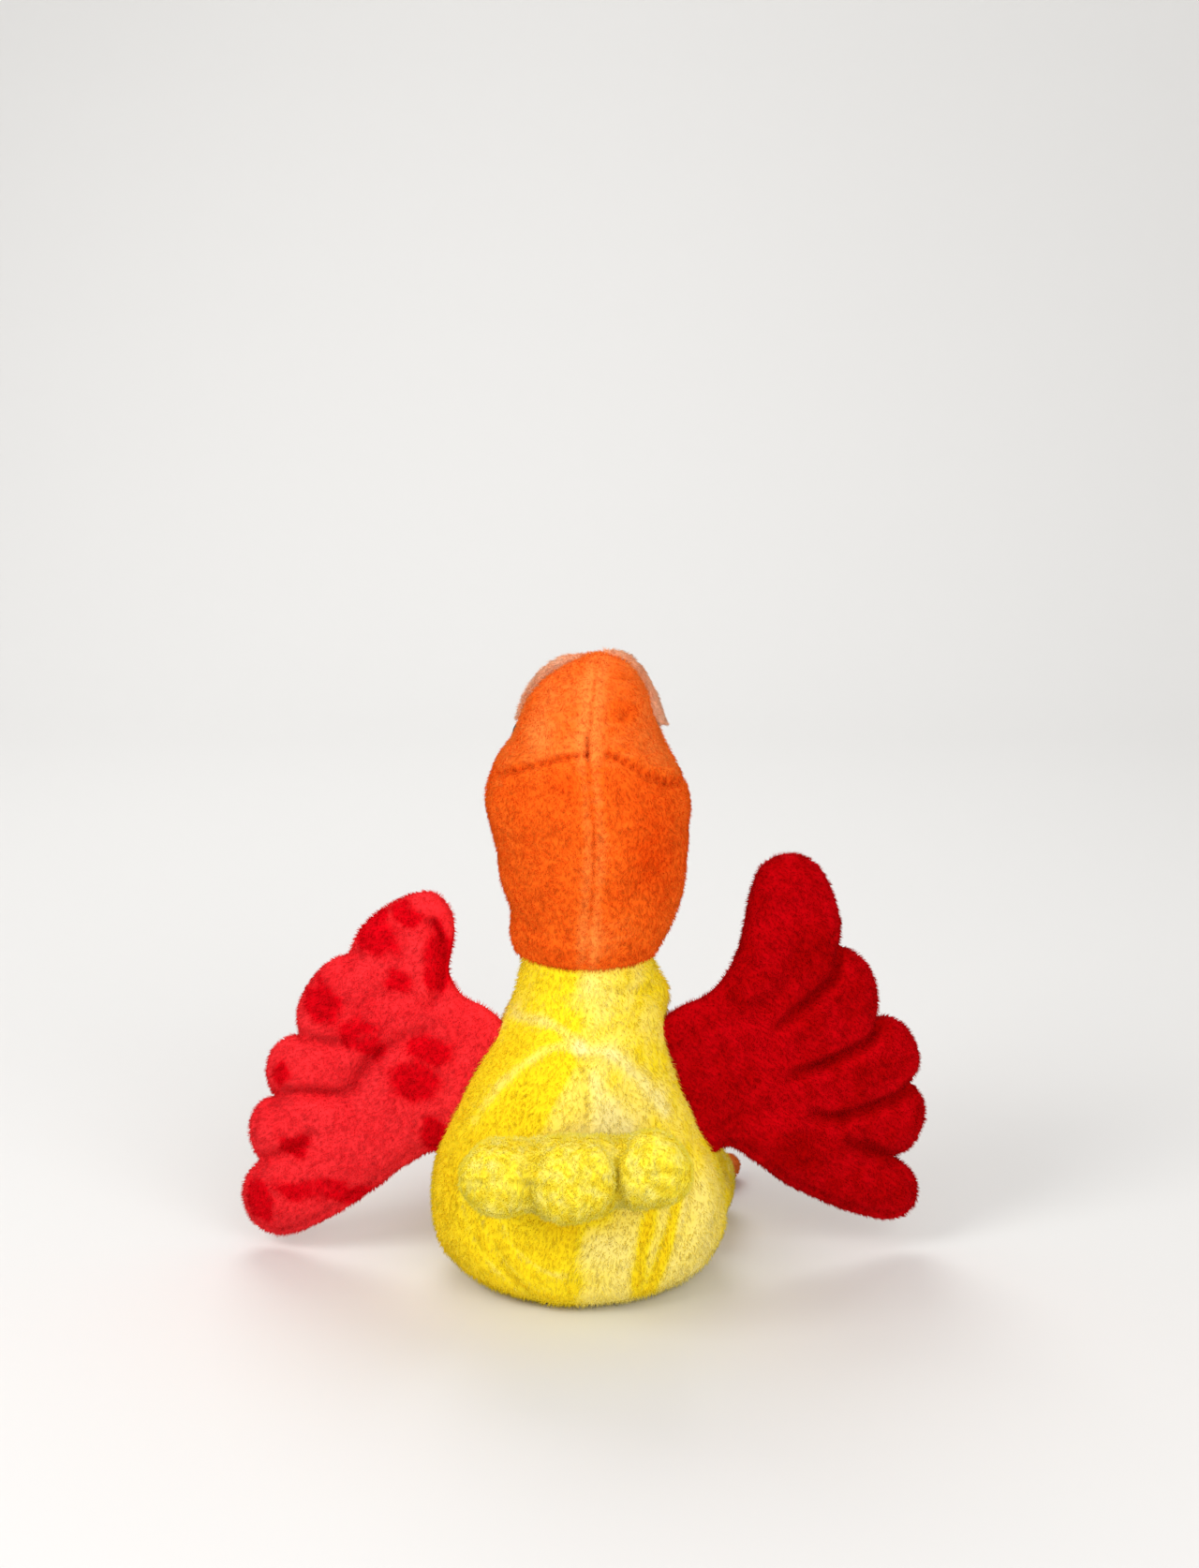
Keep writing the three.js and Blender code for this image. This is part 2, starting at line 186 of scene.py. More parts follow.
def closed_tube(rows, columns):
    """Faces of a grid that is closed round its columns, with one pole at each end after the grid's points."""
    faces = []
    for row in range(rows - 1):
        for column in range(columns):
            right = (column + 1) % columns
            low, high = row * columns, (row + 1) * columns
            faces.append((low + column, low + right, high + right, high + column))
    bottom, top = rows * columns, rows * columns + 1
    for column in range(columns):
        right = (column + 1) % columns
        faces.append((bottom, right, column))
        faces.append((top, (rows - 1) * columns + column, (rows - 1) * columns + right))
    return faces


def round_body(name, heights, half_width, behind, front, centre, columns):
    """A closed body of oval levels; behind and front are its half depths, and centre is across."""
    angles = np.linspace(0, 2 * math.pi, columns, endpoint=False)
    cos, sin = np.cos(angles), np.sin(angles)
    half_depth = np.where(sin[None] > 0, behind[:, None], front[:, None])
    x = centre[:, None] + half_width[:, None] * cos[None]
    y = half_depth * sin[None]
    z = np.repeat(heights[:, None], columns, axis=1)
    points = np.stack([x, y, z], axis=2).reshape(-1, 3)
    ends = [[centre[0], 0, heights[0]], [centre[-1], 0, heights[-1]]]
    return object_from(name, np.vstack([points, ends]), closed_tube(len(heights), columns))


def puff(obj, hold, pressure=4.0, most=2.5, frames=14, stretch=12):
    """Inflates a closed cloth mesh by simulation. hold is 0 to 1 for each point: 1 is sewn down."""
    start = coordinates(obj)
    group = obj.vertex_groups.new(name="sewn")
    for level in range(1, 11):
        chosen = np.nonzero(np.round(hold * 10) == level)[0].tolist()
        if chosen:
            group.add(chosen, level / 10, "REPLACE")
    cloth = obj.modifiers.new("puff", "CLOTH")
    settings = cloth.settings
    settings.quality = 5
    settings.mass = 0.2
    settings.tension_stiffness = stretch
    settings.compression_stiffness = stretch * 0.5
    settings.shear_stiffness = stretch * 0.5
    settings.bending_stiffness = 0.3
    settings.use_pressure = True
    settings.uniform_pressure_force = pressure
    settings.vertex_group_mass = "sewn"
    settings.pin_stiffness = 1.0
    settings.effector_weights.gravity = 0
    cloth.collision_settings.use_collision = False
    cloth.point_cache.frame_start = 1
    cloth.point_cache.frame_end = frames
    scene = bpy.context.scene
    for step in range(1, frames + 1):
        scene.frame_set(step)
    shown = obj.evaluated_get(bpy.context.evaluated_depsgraph_get())
    co = np.zeros(len(shown.data.vertices) * 3)
    shown.data.vertices.foreach_get("co", co)
    moved = co.reshape(-1, 3) / MM - start
    obj.modifiers.remove(cloth)
    obj.vertex_groups.remove(group)
    scene.frame_set(1)
    length = np.linalg.norm(moved, axis=1)
    scale = np.minimum(1, most / np.maximum(length, 1e-9))
    set_coordinates(obj, start + moved * scale[:, None])


# ---- nap: which way the pile lies, pale or deep; its tone carries painted sheen, painted highlights and painted shade into the colour


def step_between(value, soft=0.2):
    """0 below zero and 1 above it, with a soft edge."""
    return 1 / (1 + np.exp(-np.clip(value / soft, -30, 30)))


def triangle_mask(flat, corners, soft=1.2):
    """1 inside a triangle on the cloth and 0 outside, with a soft edge in millimetres."""
    corners = np.array(corners, float)
    middle = corners.mean(0)
    mask = np.ones(len(flat))
    for start, end in zip(corners, np.roll(corners, -1, axis=0)):
        edge = end - start
        square = np.array([-edge[1], edge[0]]) / np.linalg.norm(edge)
        if (middle - start) @ square < 0:
            square = -square
        mask *= step_between((flat - start) @ square, soft)
    return mask


def set_nap(piece, values):
    """nap is 0 where the pile shows its deep side and 1 where it catches the light: a painted sheen, with
    painted highlights and painted shade added where a piece asks for them.
    """
    attribute = piece.data.attributes.get("nap") or piece.data.attributes.new("nap", "FLOAT", "POINT")
    attribute.data.foreach_set("value", np.clip(values, 0, 1).astype(np.float32))


# ---- pile: short fibres that stand on the cloth


FIBRES_AT_MOST = 48000
FIBRE_WIDTH = 0.36
FIBRE_SINK = 0.25  # how deep a fibre starts inside its cloth
FIBRE_DROOP = 0.12  # how far a tip sinks, as a share of the fibre's length
FIBRE_SCATTER = 0.20
BRUSH_WANDER = 0.5
SIN_60 = 0.87
FLOOR_ROOM = 1.2  # no fibre starts lower than this
LOWEST_TIP = 0.05


def pile(obj, name, length, per_mm2, comb, seed, nap, lean=0.75, clump=0.25, keep=None):
    """Short tapered fibres, each a closed three-sided spike, as a mesh of its own over a cloth piece.

    comb gives the way the nap is brushed at each root, nap its tone, and keep picks the roots that stay.
    """
    random = np.random.default_rng(seed)
    mesh = obj.data
    mesh.calc_loop_triangles()
    triangles = np.zeros(len(mesh.loop_triangles) * 3, int)
    mesh.loop_triangles.foreach_get("vertices", triangles)
    triangles = triangles.reshape(-1, 3)
    points, vectors = coordinates(obj), normals(obj)
    corner = points[triangles]
    cross = np.cross(corner[:, 1] - corner[:, 0], corner[:, 2] - corner[:, 0])
    area = np.linalg.norm(cross, axis=1) / 2
    count = int(min(FIBRES_AT_MOST, area.sum() * per_mm2))
    chosen = random.choice(len(triangles), count, p=area / area.sum())
    split = np.sqrt(random.random(count))
    share = random.random(count)
    weights = np.stack([1 - split, split * (1 - share), split * share], axis=1)[:, :, None]
    root = (corner[chosen] * weights).sum(1)
    normal = (vectors[triangles[chosen]] * weights).sum(1)
    if keep is not None:
        kept = keep(root, normal)
        root, normal = root[kept], normal[kept]
        count = len(root)
    normal /= np.maximum(np.linalg.norm(normal, axis=1, keepdims=True), 1e-9)
    laid = comb(root) + BRUSH_WANDER * np.stack([waves(root, 17, seed + i) for i in range(3)], axis=1)
    laid += clump * np.stack([waves(root, 4.5, seed + 5 + i, 1) for i in range(3)], axis=1)
    laid += random.normal(0, FIBRE_SCATTER, (count, 3))
    laid -= normal * (laid * normal).sum(1, keepdims=True)
    direction = normal + lean * laid
    direction /= np.linalg.norm(direction, axis=1, keepdims=True)
    reach = length * random.uniform(0.6, 1.15, (count, 1))
    side = np.cross(direction, random.normal(size=(count, 3)))
    side *= FIBRE_WIDTH / 2 / np.maximum(np.linalg.norm(side, axis=1, keepdims=True), 1e-9)
    up = np.cross(direction, side)
    base = root - normal * FIBRE_SINK
    tip = base + direction * reach - normal * reach * FIBRE_DROOP
    behind = base - side * 0.5
    vertices = np.stack([base + side, behind + up * SIN_60, behind - up * SIN_60, tip], axis=1)
    above_floor = root[:, 2] > FLOOR_ROOM
    vertices, root, count = vertices[above_floor], root[above_floor], int(above_floor.sum())
    vertices[:, 3, 2] = np.maximum(vertices[:, 3, 2], LOWEST_TIP)
    first = np.arange(count)[:, None] * 4
    pattern = np.array([[0, 1, 3], [1, 2, 3], [2, 0, 3], [0, 2, 1]])
    loops = (first[:, None, :] + pattern[None]).reshape(-1)
    fibres = bpy.data.meshes.new(name)
    fibres.vertices.add(count * 4)
    fibres.vertices.foreach_set("co", (vertices * MM).ravel())
    fibres.loops.add(len(loops))
    fibres.loops.foreach_set("vertex_index", loops.astype(np.int32))
    fibres.polygons.add(count * 4)
    fibres.polygons.foreach_set("loop_start", np.arange(0, len(loops), 3, dtype=np.int32))
    fibres.update(calc_edges=True)
    fibres.validate()
    piece = bpy.data.objects.new(name, fibres)
    bpy.context.scene.collection.objects.link(piece)
    fibres.polygons.foreach_set("use_smooth", [True] * len(fibres.polygons))
    tone = nap(root) + random.normal(0, 0.04, count) + 0.09 * waves(root, 2.6, seed + 9, 1)
    if len(fibres.vertices) == count * 4:
        set_nap(piece, (tone[:, None] + np.array([-0.06, -0.06, -0.06, 0.10])[None]).ravel())
    return piece


def brushed(*direction):
    """A comb that lays the whole pile of a piece one way."""
    way = np.array(direction, float)
    way /= np.linalg.norm(way)
    return lambda root: np.repeat(way[None], len(root), axis=0)


# ---- materials


def shader_tree(name):
    material = bpy.data.materials.new(name)
    material.use_nodes = True
    tree = material.node_tree
    return material, tree, tree.nodes["Principled BSDF"]


def node(tree, kind, **values):
    made = tree.nodes.new(kind)
    for key, value in values.items():
        if key in made.inputs:
            made.inputs[key].default_value = value
        else:
            setattr(made, key, value)
    return made


def ramp(tree, factor, stops):
    made = tree.nodes.new("ShaderNodeValToRGB")
    while len(made.color_ramp.elements) < len(stops):
        made.color_ramp.elements.new(0.5)
    for element, (place, colour) in zip(made.color_ramp.elements, stops):
        element.position = place
        element.color = (*colour, 1)
    tree.links.new(factor, made.inputs["Fac"])
    return made.outputs["Color"]


def plush(name, deep, main, pale, sheen=0.12, patch=28.0, stretch=(1, 1, 1), bump=0.35):
    """Short-pile cloth: broad patches where the nap lies another way, fine clumps, and a soft sheen."""
    material, tree, shader = shader_tree(name)
    link = tree.links.new
    place = node(tree, "ShaderNodeTexCoord")
    mapping = node(tree, "ShaderNodeMapping", Scale=stretch)
    link(place.outputs["Object"], mapping.inputs["Vector"])
    broad = node(tree, "ShaderNodeTexNoise", Scale=patch, Detail=2.0, Roughness=0.45, Distortion=0.6)
    clumps = node(tree, "ShaderNodeTexNoise", Scale=620.0, Detail=3.0, Roughness=0.6)
    fine = node(tree, "ShaderNodeTexNoise", Scale=2600.0, Detail=2.0, Roughness=0.6)
    for texture in (broad, clumps, fine):
        link(mapping.outputs["Vector"], texture.inputs["Vector"])
    # the nap attribute brings painted sheen, painted highlights and painted shade into the base colour
    nap = node(tree, "ShaderNodeAttribute", attribute_name="nap")
    patches = node(tree, "ShaderNodeMix", data_type="FLOAT")
    patches.inputs[0].default_value = 0.22
    link(nap.outputs["Fac"], patches.inputs[2])
    link(broad.outputs["Fac"], patches.inputs[3])
    mixed = node(tree, "ShaderNodeMix", data_type="FLOAT")
    mixed.inputs[0].default_value = 0.09
    link(patches.outputs[0], mixed.inputs[2])
    link(clumps.outputs["Fac"], mixed.inputs[3])
    colour = ramp(tree, mixed.outputs[0], [(0.12, deep), (0.46, main), (0.84, pale)])
    link(colour, shader.inputs["Base Color"])
    rough = node(tree, "ShaderNodeMapRange")
    rough.inputs["To Min"].default_value = 0.82
    rough.inputs["To Max"].default_value = 1.0
    link(clumps.outputs["Fac"], rough.inputs["Value"])
    link(rough.outputs["Result"], shader.inputs["Roughness"])
    raised = node(tree, "ShaderNodeBump", Strength=bump, Distance=0.0006)
    link(fine.outputs["Fac"], raised.inputs["Height"])
    link(raised.outputs["Normal"], shader.inputs["Normal"])
    shader.inputs["Sheen Weight"].default_value = sheen
    shader.inputs["Sheen Roughness"].default_value = 0.45
    shader.inputs["Sheen Tint"].default_value = (*pale, 1)
    shader.inputs["Specular IOR Level"].default_value = 0.02
    return material


def moulded(name, colour, roughness, coat=0.0):
    """Moulded plastic with faint flow marks and a slightly uneven finish."""
    material, tree, shader = shader_tree(name)
    link = tree.links.new
    place = node(tree, "ShaderNodeTexCoord")
    noise = node(tree, "ShaderNodeTexNoise", Scale=300.0, Detail=3.0)
    link(place.outputs["Object"], noise.inputs["Vector"])
    low = tuple(c * 0.85 for c in colour)
    link(ramp(tree, noise.outputs["Fac"], [(0.3, low), (0.7, colour)]), shader.inputs["Base Color"])
    rough = node(tree, "ShaderNodeMapRange")
    rough.inputs["To Min"].default_value = roughness * 0.8
    rough.inputs["To Max"].default_value = roughness * 1.3
    link(noise.outputs["Fac"], rough.inputs["Value"])
    link(rough.outputs["Result"], shader.inputs["Roughness"])
    shader.inputs["Coat Weight"].default_value = coat
    return material


# each pile's pale colour is its painted sheen, reached where the nap tone is high
ORANGE = plush("orange_pile", (0.82, 0.075, 0.003), (0.95, 0.145, 0.010), (1.0, 0.26, 0.045), patch=22)
YELLOW = plush("yellow_pile", (0.98, 0.65, 0.003), (0.99, 0.77, 0.015), (0.99, 0.87, 0.36), patch=24)
TAIL_YELLOW = plush("tail_pile", (0.97, 0.69, 0.010), (0.99, 0.82, 0.045), (0.99, 0.91, 0.28), patch=60)
RED = plush("red_pile", (0.36, 0.0, 0.0), (0.74, 0.001, 0.007), (0.93, 0.034, 0.042), sheen=0.04, patch=42)
PEACH = plush("peach_pile", (0.86, 0.34, 0.17), (0.95, 0.46, 0.26), (1.0, 0.62, 0.42), patch=60)
BEAK = plush("beak_cloth", (0.78, 0.34, 0.01), (0.90, 0.44, 0.02), (0.96, 0.58, 0.08), patch=60)
FOOT = plush("foot_cloth", (0.58, 0.10, 0.01), (0.74, 0.15, 0.02), (0.85, 0.24, 0.05), patch=60)
COTTON = plush("pellet_cotton", (0.66, 0.60, 0.48), (0.76, 0.70, 0.58), (0.84, 0.79, 0.68), patch=90)
EYE = moulded("eye_gloss", (0.012, 0.011, 0.010), 0.10, coat=0.6)
NYLON = moulded("washer_nylon", (0.78, 0.78, 0.75), 0.45)


def dress(piece, material, nap=None):
    piece.data.materials.clear()
    piece.data.materials.append(material)
    if nap is not None:
        set_nap(piece, nap(coordinates(piece)))


def furred(cloth, material, slot, nap, name, length_and_density, comb, seed, **shape):
    """Dresses a cloth piece, stands pile on it and returns both pieces."""
    dress(cloth, material, nap)
    fur = pile(cloth, name, *length_and_density, comb, seed, nap, **shape)
    dress(fur, material)
    return cloth, fur


# Fibre length in millimetres, and fibres on each square millimetre
TORSO_PILE = (2.7, 1.7)
HOOD_PILE = (2.3, 2.0)
WING_PILE = (2.2, 2.2)
TAIL_PILE = (2.8, 2.6)
LEG_PILE = (2.2, 2.0)
FOOT_PILE = (1.6, 3.0)
BEAK_PILE = (1.3, 3.0)
CREST_PILE = (2.4, 7.0)


# ---- torso

TORSO_LEVELS = [
    # height, half width, centre across, half depth behind, half depth in front
    [0, 31, 0.5, 34, 30],
    [3, 40.5, 0.5, 42, 37],
    [7, 47.5, 1.0, 47, 43],
    [14, 52.4, 1.5, 50.5, 47.5],
    [31, 55.0, 2.2, 52, 50],
    [50.5, 50.9, 3.0, 49, 46.5],
    [67, 44.1, 3.4, 44, 41],
    [86.5, 35.6, 2.0, 37, 35],
    [105, 28.4, -1.0, 30.4, 30.4],
    [117, 25.2, -1.8, 27, 27.2],
    [NECK_SEAM - 0.4, 23.6, -1.6, 25.4, 25.2],
]


BACK_STARTS = 12  # how far behind the side seams a back crease reaches its full depth


def on_back(points):
    """Across and up coordinates of points, and 0 to 1 for how far each lies on the back."""
    return points[:, [0, 2]], np.clip(points[:, 1] / BACK_STARTS, 0, 1)


TORSO_CREASES = [
    # line across and up on the back, width, depth (negative stands proud)
    ([[0.5, 128], [0, 115], [1, 99], [-2, 82.5], [-1, 64], [3, 34], [5, 6]], 1.3, 1.5),
    ([[1, 99], [9, 100], [19, 94.5], [31, 82.5], [40, 68]], 2.6, -1.2),
    ([[1, 97], [9, 96], [18, 89.5], [28, 78.5]], 2.0, 0.8),
    ([[1, 101], [12, 107], [24, 106]], 3.0, 0.8),
    ([[1, 99], [-9, 98], [-18, 90.5], [-26, 80.5], [-31, 72]], 2.4, -1.2),
    ([[1, 97], [-8, 93.5], [-15, 85.5], [-20, 76]], 2.0, 1.0),
    ([[1, 101], [-10, 105], [-20, 104], [-29, 100]], 2.6, 0.9),
    ([[-9, 119], [-20, 117], [-28, 113], [-31, 103]], 2.0, 1.6),
    ([[-7, 123], [-18, 122], [-27, 119]], 2.6, -1.4),
    ([[-27, 51.5], [-24, 36.5], [-21, 20], [-20, 8]], 2.2, 1.2),
    ([[-37, 55.5], [-35, 41], [-30, 22.5], [-25, 8]], 2.0, 1.6),
    ([[-41, 57.5], [-42, 43], [-37, 25], [-31, 13]], 2.2, 1.9),
    ([[-46, 51.5], [-47, 36.5], [-42, 17.5]], 4.5, -1.8),
    ([[27, 47], [27, 32], [20, 15], [12, 6]], 2.4, -0.9),
    ([[33, 49.5], [34, 32], [27, 15], [18, 5]], 2.4, 0.9),
]


STITCH_PITCH = 3.6
HELD_DEPTH = 1.4  # a crease deeper than this is sewn down when the cloth is inflated


def creased(points, vectors, creases, facing):
    """Moves points along their normals for each crease; returns them and how close each is to a valley."""
    flat, share = facing
    moved = np.zeros(len(points))
    sewn = np.zeros(len(points))
    for line, width, depth, *stitched in creases:
        curve = curve_points(line)
        distance, along = nearest(flat, curve, with_place=True)
        fade = np.sin(np.clip(along, 0.0, 1.0) * math.pi) ** 0.35 if depth < 2.5 else 1.0
        amount = valley(distance, width) * share * np.maximum(fade, 0.25)
        if stitched:
            length = np.linalg.norm(np.diff(curve, axis=0), axis=1).sum()
            amount = amount * (0.72 + 0.28 * np.cos(along * length * 2 * math.pi / STITCH_PITCH))
        moved -= depth * amount
        if depth > HELD_DEPTH:
            sewn = np.maximum(sewn, amount)
    return points + vectors * moved[:, None], sewn


def base_rows(table, rows, low_rows):
    """Heights from the seat up: rings that fill the flat seat come first, at the lowest height."""
    low, high = table[0][0], table[-1][0]
    heights = low + (high - low) * np.linspace(0, 1, rows) ** 1.15
    levels = smooth_table(table, heights)
    inner = np.linspace(0.15, 0.95, low_rows)[:, None]
    seat = np.repeat(levels[:1], low_rows, axis=0)
    seat[:, [0, 2, 3]] *= inner
    return np.concatenate([np.full(low_rows, low), heights]), np.vstack([seat, levels])


# arching ridges on the back, painted paler as highlights
HIGHLIT_ARCS = [TORSO_CREASES[1][0], TORSO_CREASES[3][0], TORSO_CREASES[4][0]]
# folds right of the tail, painted darker as shade
SHADED_FOLDS = [TORSO_CREASES[9][0], TORSO_CREASES[10][0]]


def torso_nap_light_and_shade(points):
    """Painted sheen, saturated on the left of the spine and pale on the right, with a painted highlight on
    the pale tent from the pinch to the tail and on the arcs, painted shade in the folds and a painted shadow
    under the tail.
    """
    flat = points[:, [0, 2]]
    back = step_between(points[:, 1] - 6, 5.0)
    # painted sheen: paler right of the spine, up the neck and low on the right
    right = step_between(-flat[:, 0] + 0.5, 1.6)
    upper = step_between(flat[:, 1] - 103, 5.0)
    tone = 0.26 + 0.26 * right * (1 - 0.5 * upper) + 0.20 * upper
    # painted highlight on the tent where the cloth is pulled from the pinch down to the tail
    tone += 0.34 * triangle_mask(flat, [[1, 99], [20, 62], [-2.5, 58]])
    tone += 0.40 * triangle_mask(flat, [[-2.5, 95], [-21, 68], [-2.5, 56]])
    low = step_between(50 - flat[:, 1], 3.0)
    tone += 0.16 * low * step_between(1 - flat[:, 0], 1.0) * step_between(flat[:, 0] + 22, 1.5)
    tone += 0.20 * low * step_between(-24 - flat[:, 0], 3.0)
    # painted highlights along the arching ridges
    for arc in HIGHLIT_ARCS:
        tone += 0.30 * valley(nearest(flat, curve_points(arc)), 2.2)
    # painted shade in the folds
    for fold in SHADED_FOLDS:
        tone -= 0.45 * valley(nearest(flat, curve_points(fold)), 2.6)
    # painted highlights along the curved folds low on the left
    for reach in (30, 37, 43):
        ring = np.abs(np.linalg.norm((flat - [2, 49]) * [1, 0.95], axis=1) - reach)
        low_left = step_between(flat[:, 0] - 6, 3.0) * step_between(43 - flat[:, 1], 4.0)
        tone += 0.22 * valley(ring, 1.4) * low_left
    # painted shadow under the tail
    under_tail_shadow = spot(flat, [1, 44], [13, 8])
    tone = tone - 0.5 * under_tail_shadow + 0.10 * waves(points, 16, 13)
    return back * tone + (1 - back) * (0.38 + 0.22 * waves(points, 24, 14))


def build_torso():
    heights, levels = base_rows(TORSO_LEVELS, rows=140, low_rows=11)
    hem_heights = NECK_SEAM + np.array([0.6, 1.4, 2.0])
    hem = np.repeat(levels[-1:], 3, axis=0)
    hem[:, [0, 2, 3]] *= np.array([0.94, 0.82, 0.45])[:, None]
    heights = np.concatenate([heights, hem_heights])
    levels = np.vstack([levels, hem])
    half, centre, behind, front = levels.T
    torso = round_body("torso_cloth", heights, half, behind, front, centre, columns=210)
    points, vectors = coordinates(torso), normals(torso)
    hump = spot(points, [-29, -12, 110], [9, 16, 9])
    thigh = spot(points, [-46, 4, 14], [13, 20, 12])
    slack = waves(points, 26, 3) * 0.7 * np.clip(points[:, 2] / 12, 0, 1)
    slack *= np.clip((NECK_SEAM - 3 - points[:, 2]) / 12, 0, 1)
    tail_seat = spot(points, joint_centre("tail_lift"), [42, 20, 13])
    points = points + vectors * (5.0 * hump + 1.8 * thigh + slack - 1.6 * tail_seat)[:, None]
    set_coordinates(torso, points)
    points, sewn = creased(points, normals(torso), TORSO_CREASES, on_back(points))
    set_coordinates(torso, points)
    flat_seat = np.clip((4 - points[:, 2]) / 3, 0, 1)
    side_seam = valley(points[:, 1], 1.6) * (points[:, 2] > 10)
    hem_line = (points[:, 2] > NECK_SEAM - 3) * 1.0
    hold = np.clip(np.maximum.reduce([sewn, flat_seat, side_seam, hem_line]), 0, 1)
    puff(torso, hold, pressure=3.0, most=2.2)
    points = coordinates(torso)
    points -= normals(torso) * (0.7 * valley(points[:, 1], 1.2) * (points[:, 2] > 8))[:, None]
    points[:, 2] = np.maximum(points[:, 2], 0.0)
    set_coordinates(torso, points)
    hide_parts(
        "body_back_left", "body_back_right", "belly_panel", "seat_panel",
        "body_stuffing", "neck_stuffing",
    )
    pieces = furred(
        torso, YELLOW, "yellow_plush", torso_nap_light_and_shade, "torso_pile", TORSO_PILE, brushed(0.1, 0.25, -1), seed=11,
        lean=1.0, clump=0.15, keep=lambda root, normal: (root[:, 2] > 0.8) & (root[:, 2] < NECK_SEAM - 0.5),
    )
    for piece in pieces:
        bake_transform(piece)


# ---- hood: head and neck in one sewn cover

HOOD_ROWS = 130
HOOD_LEVELS = [
    # height, half width, centre across, half depth behind, half depth in front
    [NECK_SEAM - 0.2, 25.8, -2.0, 26.8, 26.6],
    [134, 28.7, -2.4, 29.4, 29.0],
    [143, 30.4, -4.1, 32.2, 31.5],
    [157.5, 33.9, -3.9, 35.6, 35.0],
    [173.5, 35.5, -3.2, 38.6, 38.0],
    [188, 36.8, -2.0, 40.4, 40.0],
    [198.5, 32.9, -1.1, 39.4, 40.5],
    [209.5, 27.0, -1.7, 36.0, 38.5],
    [219, 23.7, -1.9, 31.2, 33.0],
    [226.5, 20.7, -3.1, 25.6, 28.0],
    [233, 15.4, -4.5, 18.2, 20.5],
    [238, 8.4, -5.8, 9.6, 11.0],
    [HEAD_TOP - 1.6, 1.8, -6.6, 2.0, 2.5],
]

CENTRE_SEAM = [
    [-5.6, 240], [-4.2, 230], [-2.8, 218], [-2.4, 209.5],
    [-3.4, 196.5], [-4.6, 178.5], [-3.4, 154.5], [-1.4, 129],
]
LEFT_DART = [[-1.8, 211], [5, 210], [11.4, 208], [19, 205], [27, 201], [35, 195.5]]
RIGHT_DART = [[-9.6, 211], [-16.7, 207], [-23, 202.5], [-29, 198.5], [-38, 194]]
HOOD_CREASES = [
    # line across and up on the back, width, depth, and True where the stitches show
    (CENTRE_SEAM[:3], 2.2, -0.9),
    (CENTRE_SEAM, 0.9, 1.0),
    (LEFT_DART, 1.1, 2.5, True),
    ([[x, z + 3] for x, z in LEFT_DART], 2.8, -0.8),
    (RIGHT_DART, 1.1, 2.7, True),
    ([[x, z + 3] for x, z in RIGHT_DART], 2.8, -0.8),
    ([[-1.9, 218], [-2.2, 210.5]], 1.0, 2.0),
    ([[-13.5, 198.5], [-14.0, 184.5]], 1.5, 1.1),
    ([[-13.5, 223.5], [-18, 223]], 2.6, 1.1),
    ([[24, 145], [14, 141], [4, 143]], 2.4, 0.5),
    ([[-26, 156.5], [-18, 147], [-8, 141]], 3.0, 0.5),
    ([[-31, 184.5], [-22, 177.5], [-10, 176.5]], 3.4, 0.4),
]


HOOD_SPOTS = [
    # how much paler (or deeper), middle across and up, half sizes; the deeper spots are painted shade on the
    # head's right side, high in the crease on the right and under the left dart, and the pale spot on the
    # crown's left is a painted highlight
    (-0.30, [-24, 174], [13, 24]),
    (0.28, [15, 215.5], [7, 6]),
    (-0.35, [-15.6, 223.5], [5, 3.5]),
    (-0.18, [6, 200], [9, 7]),
    (0.20, [-10, 141], [14, 9]),
]


def hood_nap_light_and_shade(points):
    """Painted light over the crown, which faces up, and lighter along the centre seam; painted shade in and
    under the darts and on the head's right side.
    """
    flat = points[:, [0, 2]]
    back = step_between(points[:, 1] - 6, 5.0)
    # painted light: the crown faces up and is painted paler
    crown = step_between(flat[:, 1] - 209 + 0.28 * np.abs(flat[:, 0] + 2), 1.6)
    tone = 0.35 + 0.30 * crown + 0.10 * waves(points, 20, 23) + 0.10 * waves(points * [1, 1, 3.0], 9, 24)
    ridge = nearest(flat, curve_points(CENTRE_SEAM))
    tone += 0.34 * valley(ridge - 2.2, 2.2) * back
    # painted shade in the darts
    for dart in (LEFT_DART, RIGHT_DART):
        tone -= 0.20 * valley(nearest(flat, curve_points(dart)), 1.2) * back
    for amount, middle, size in HOOD_SPOTS:
        tone += amount * spot(flat, middle, size)
    return tone


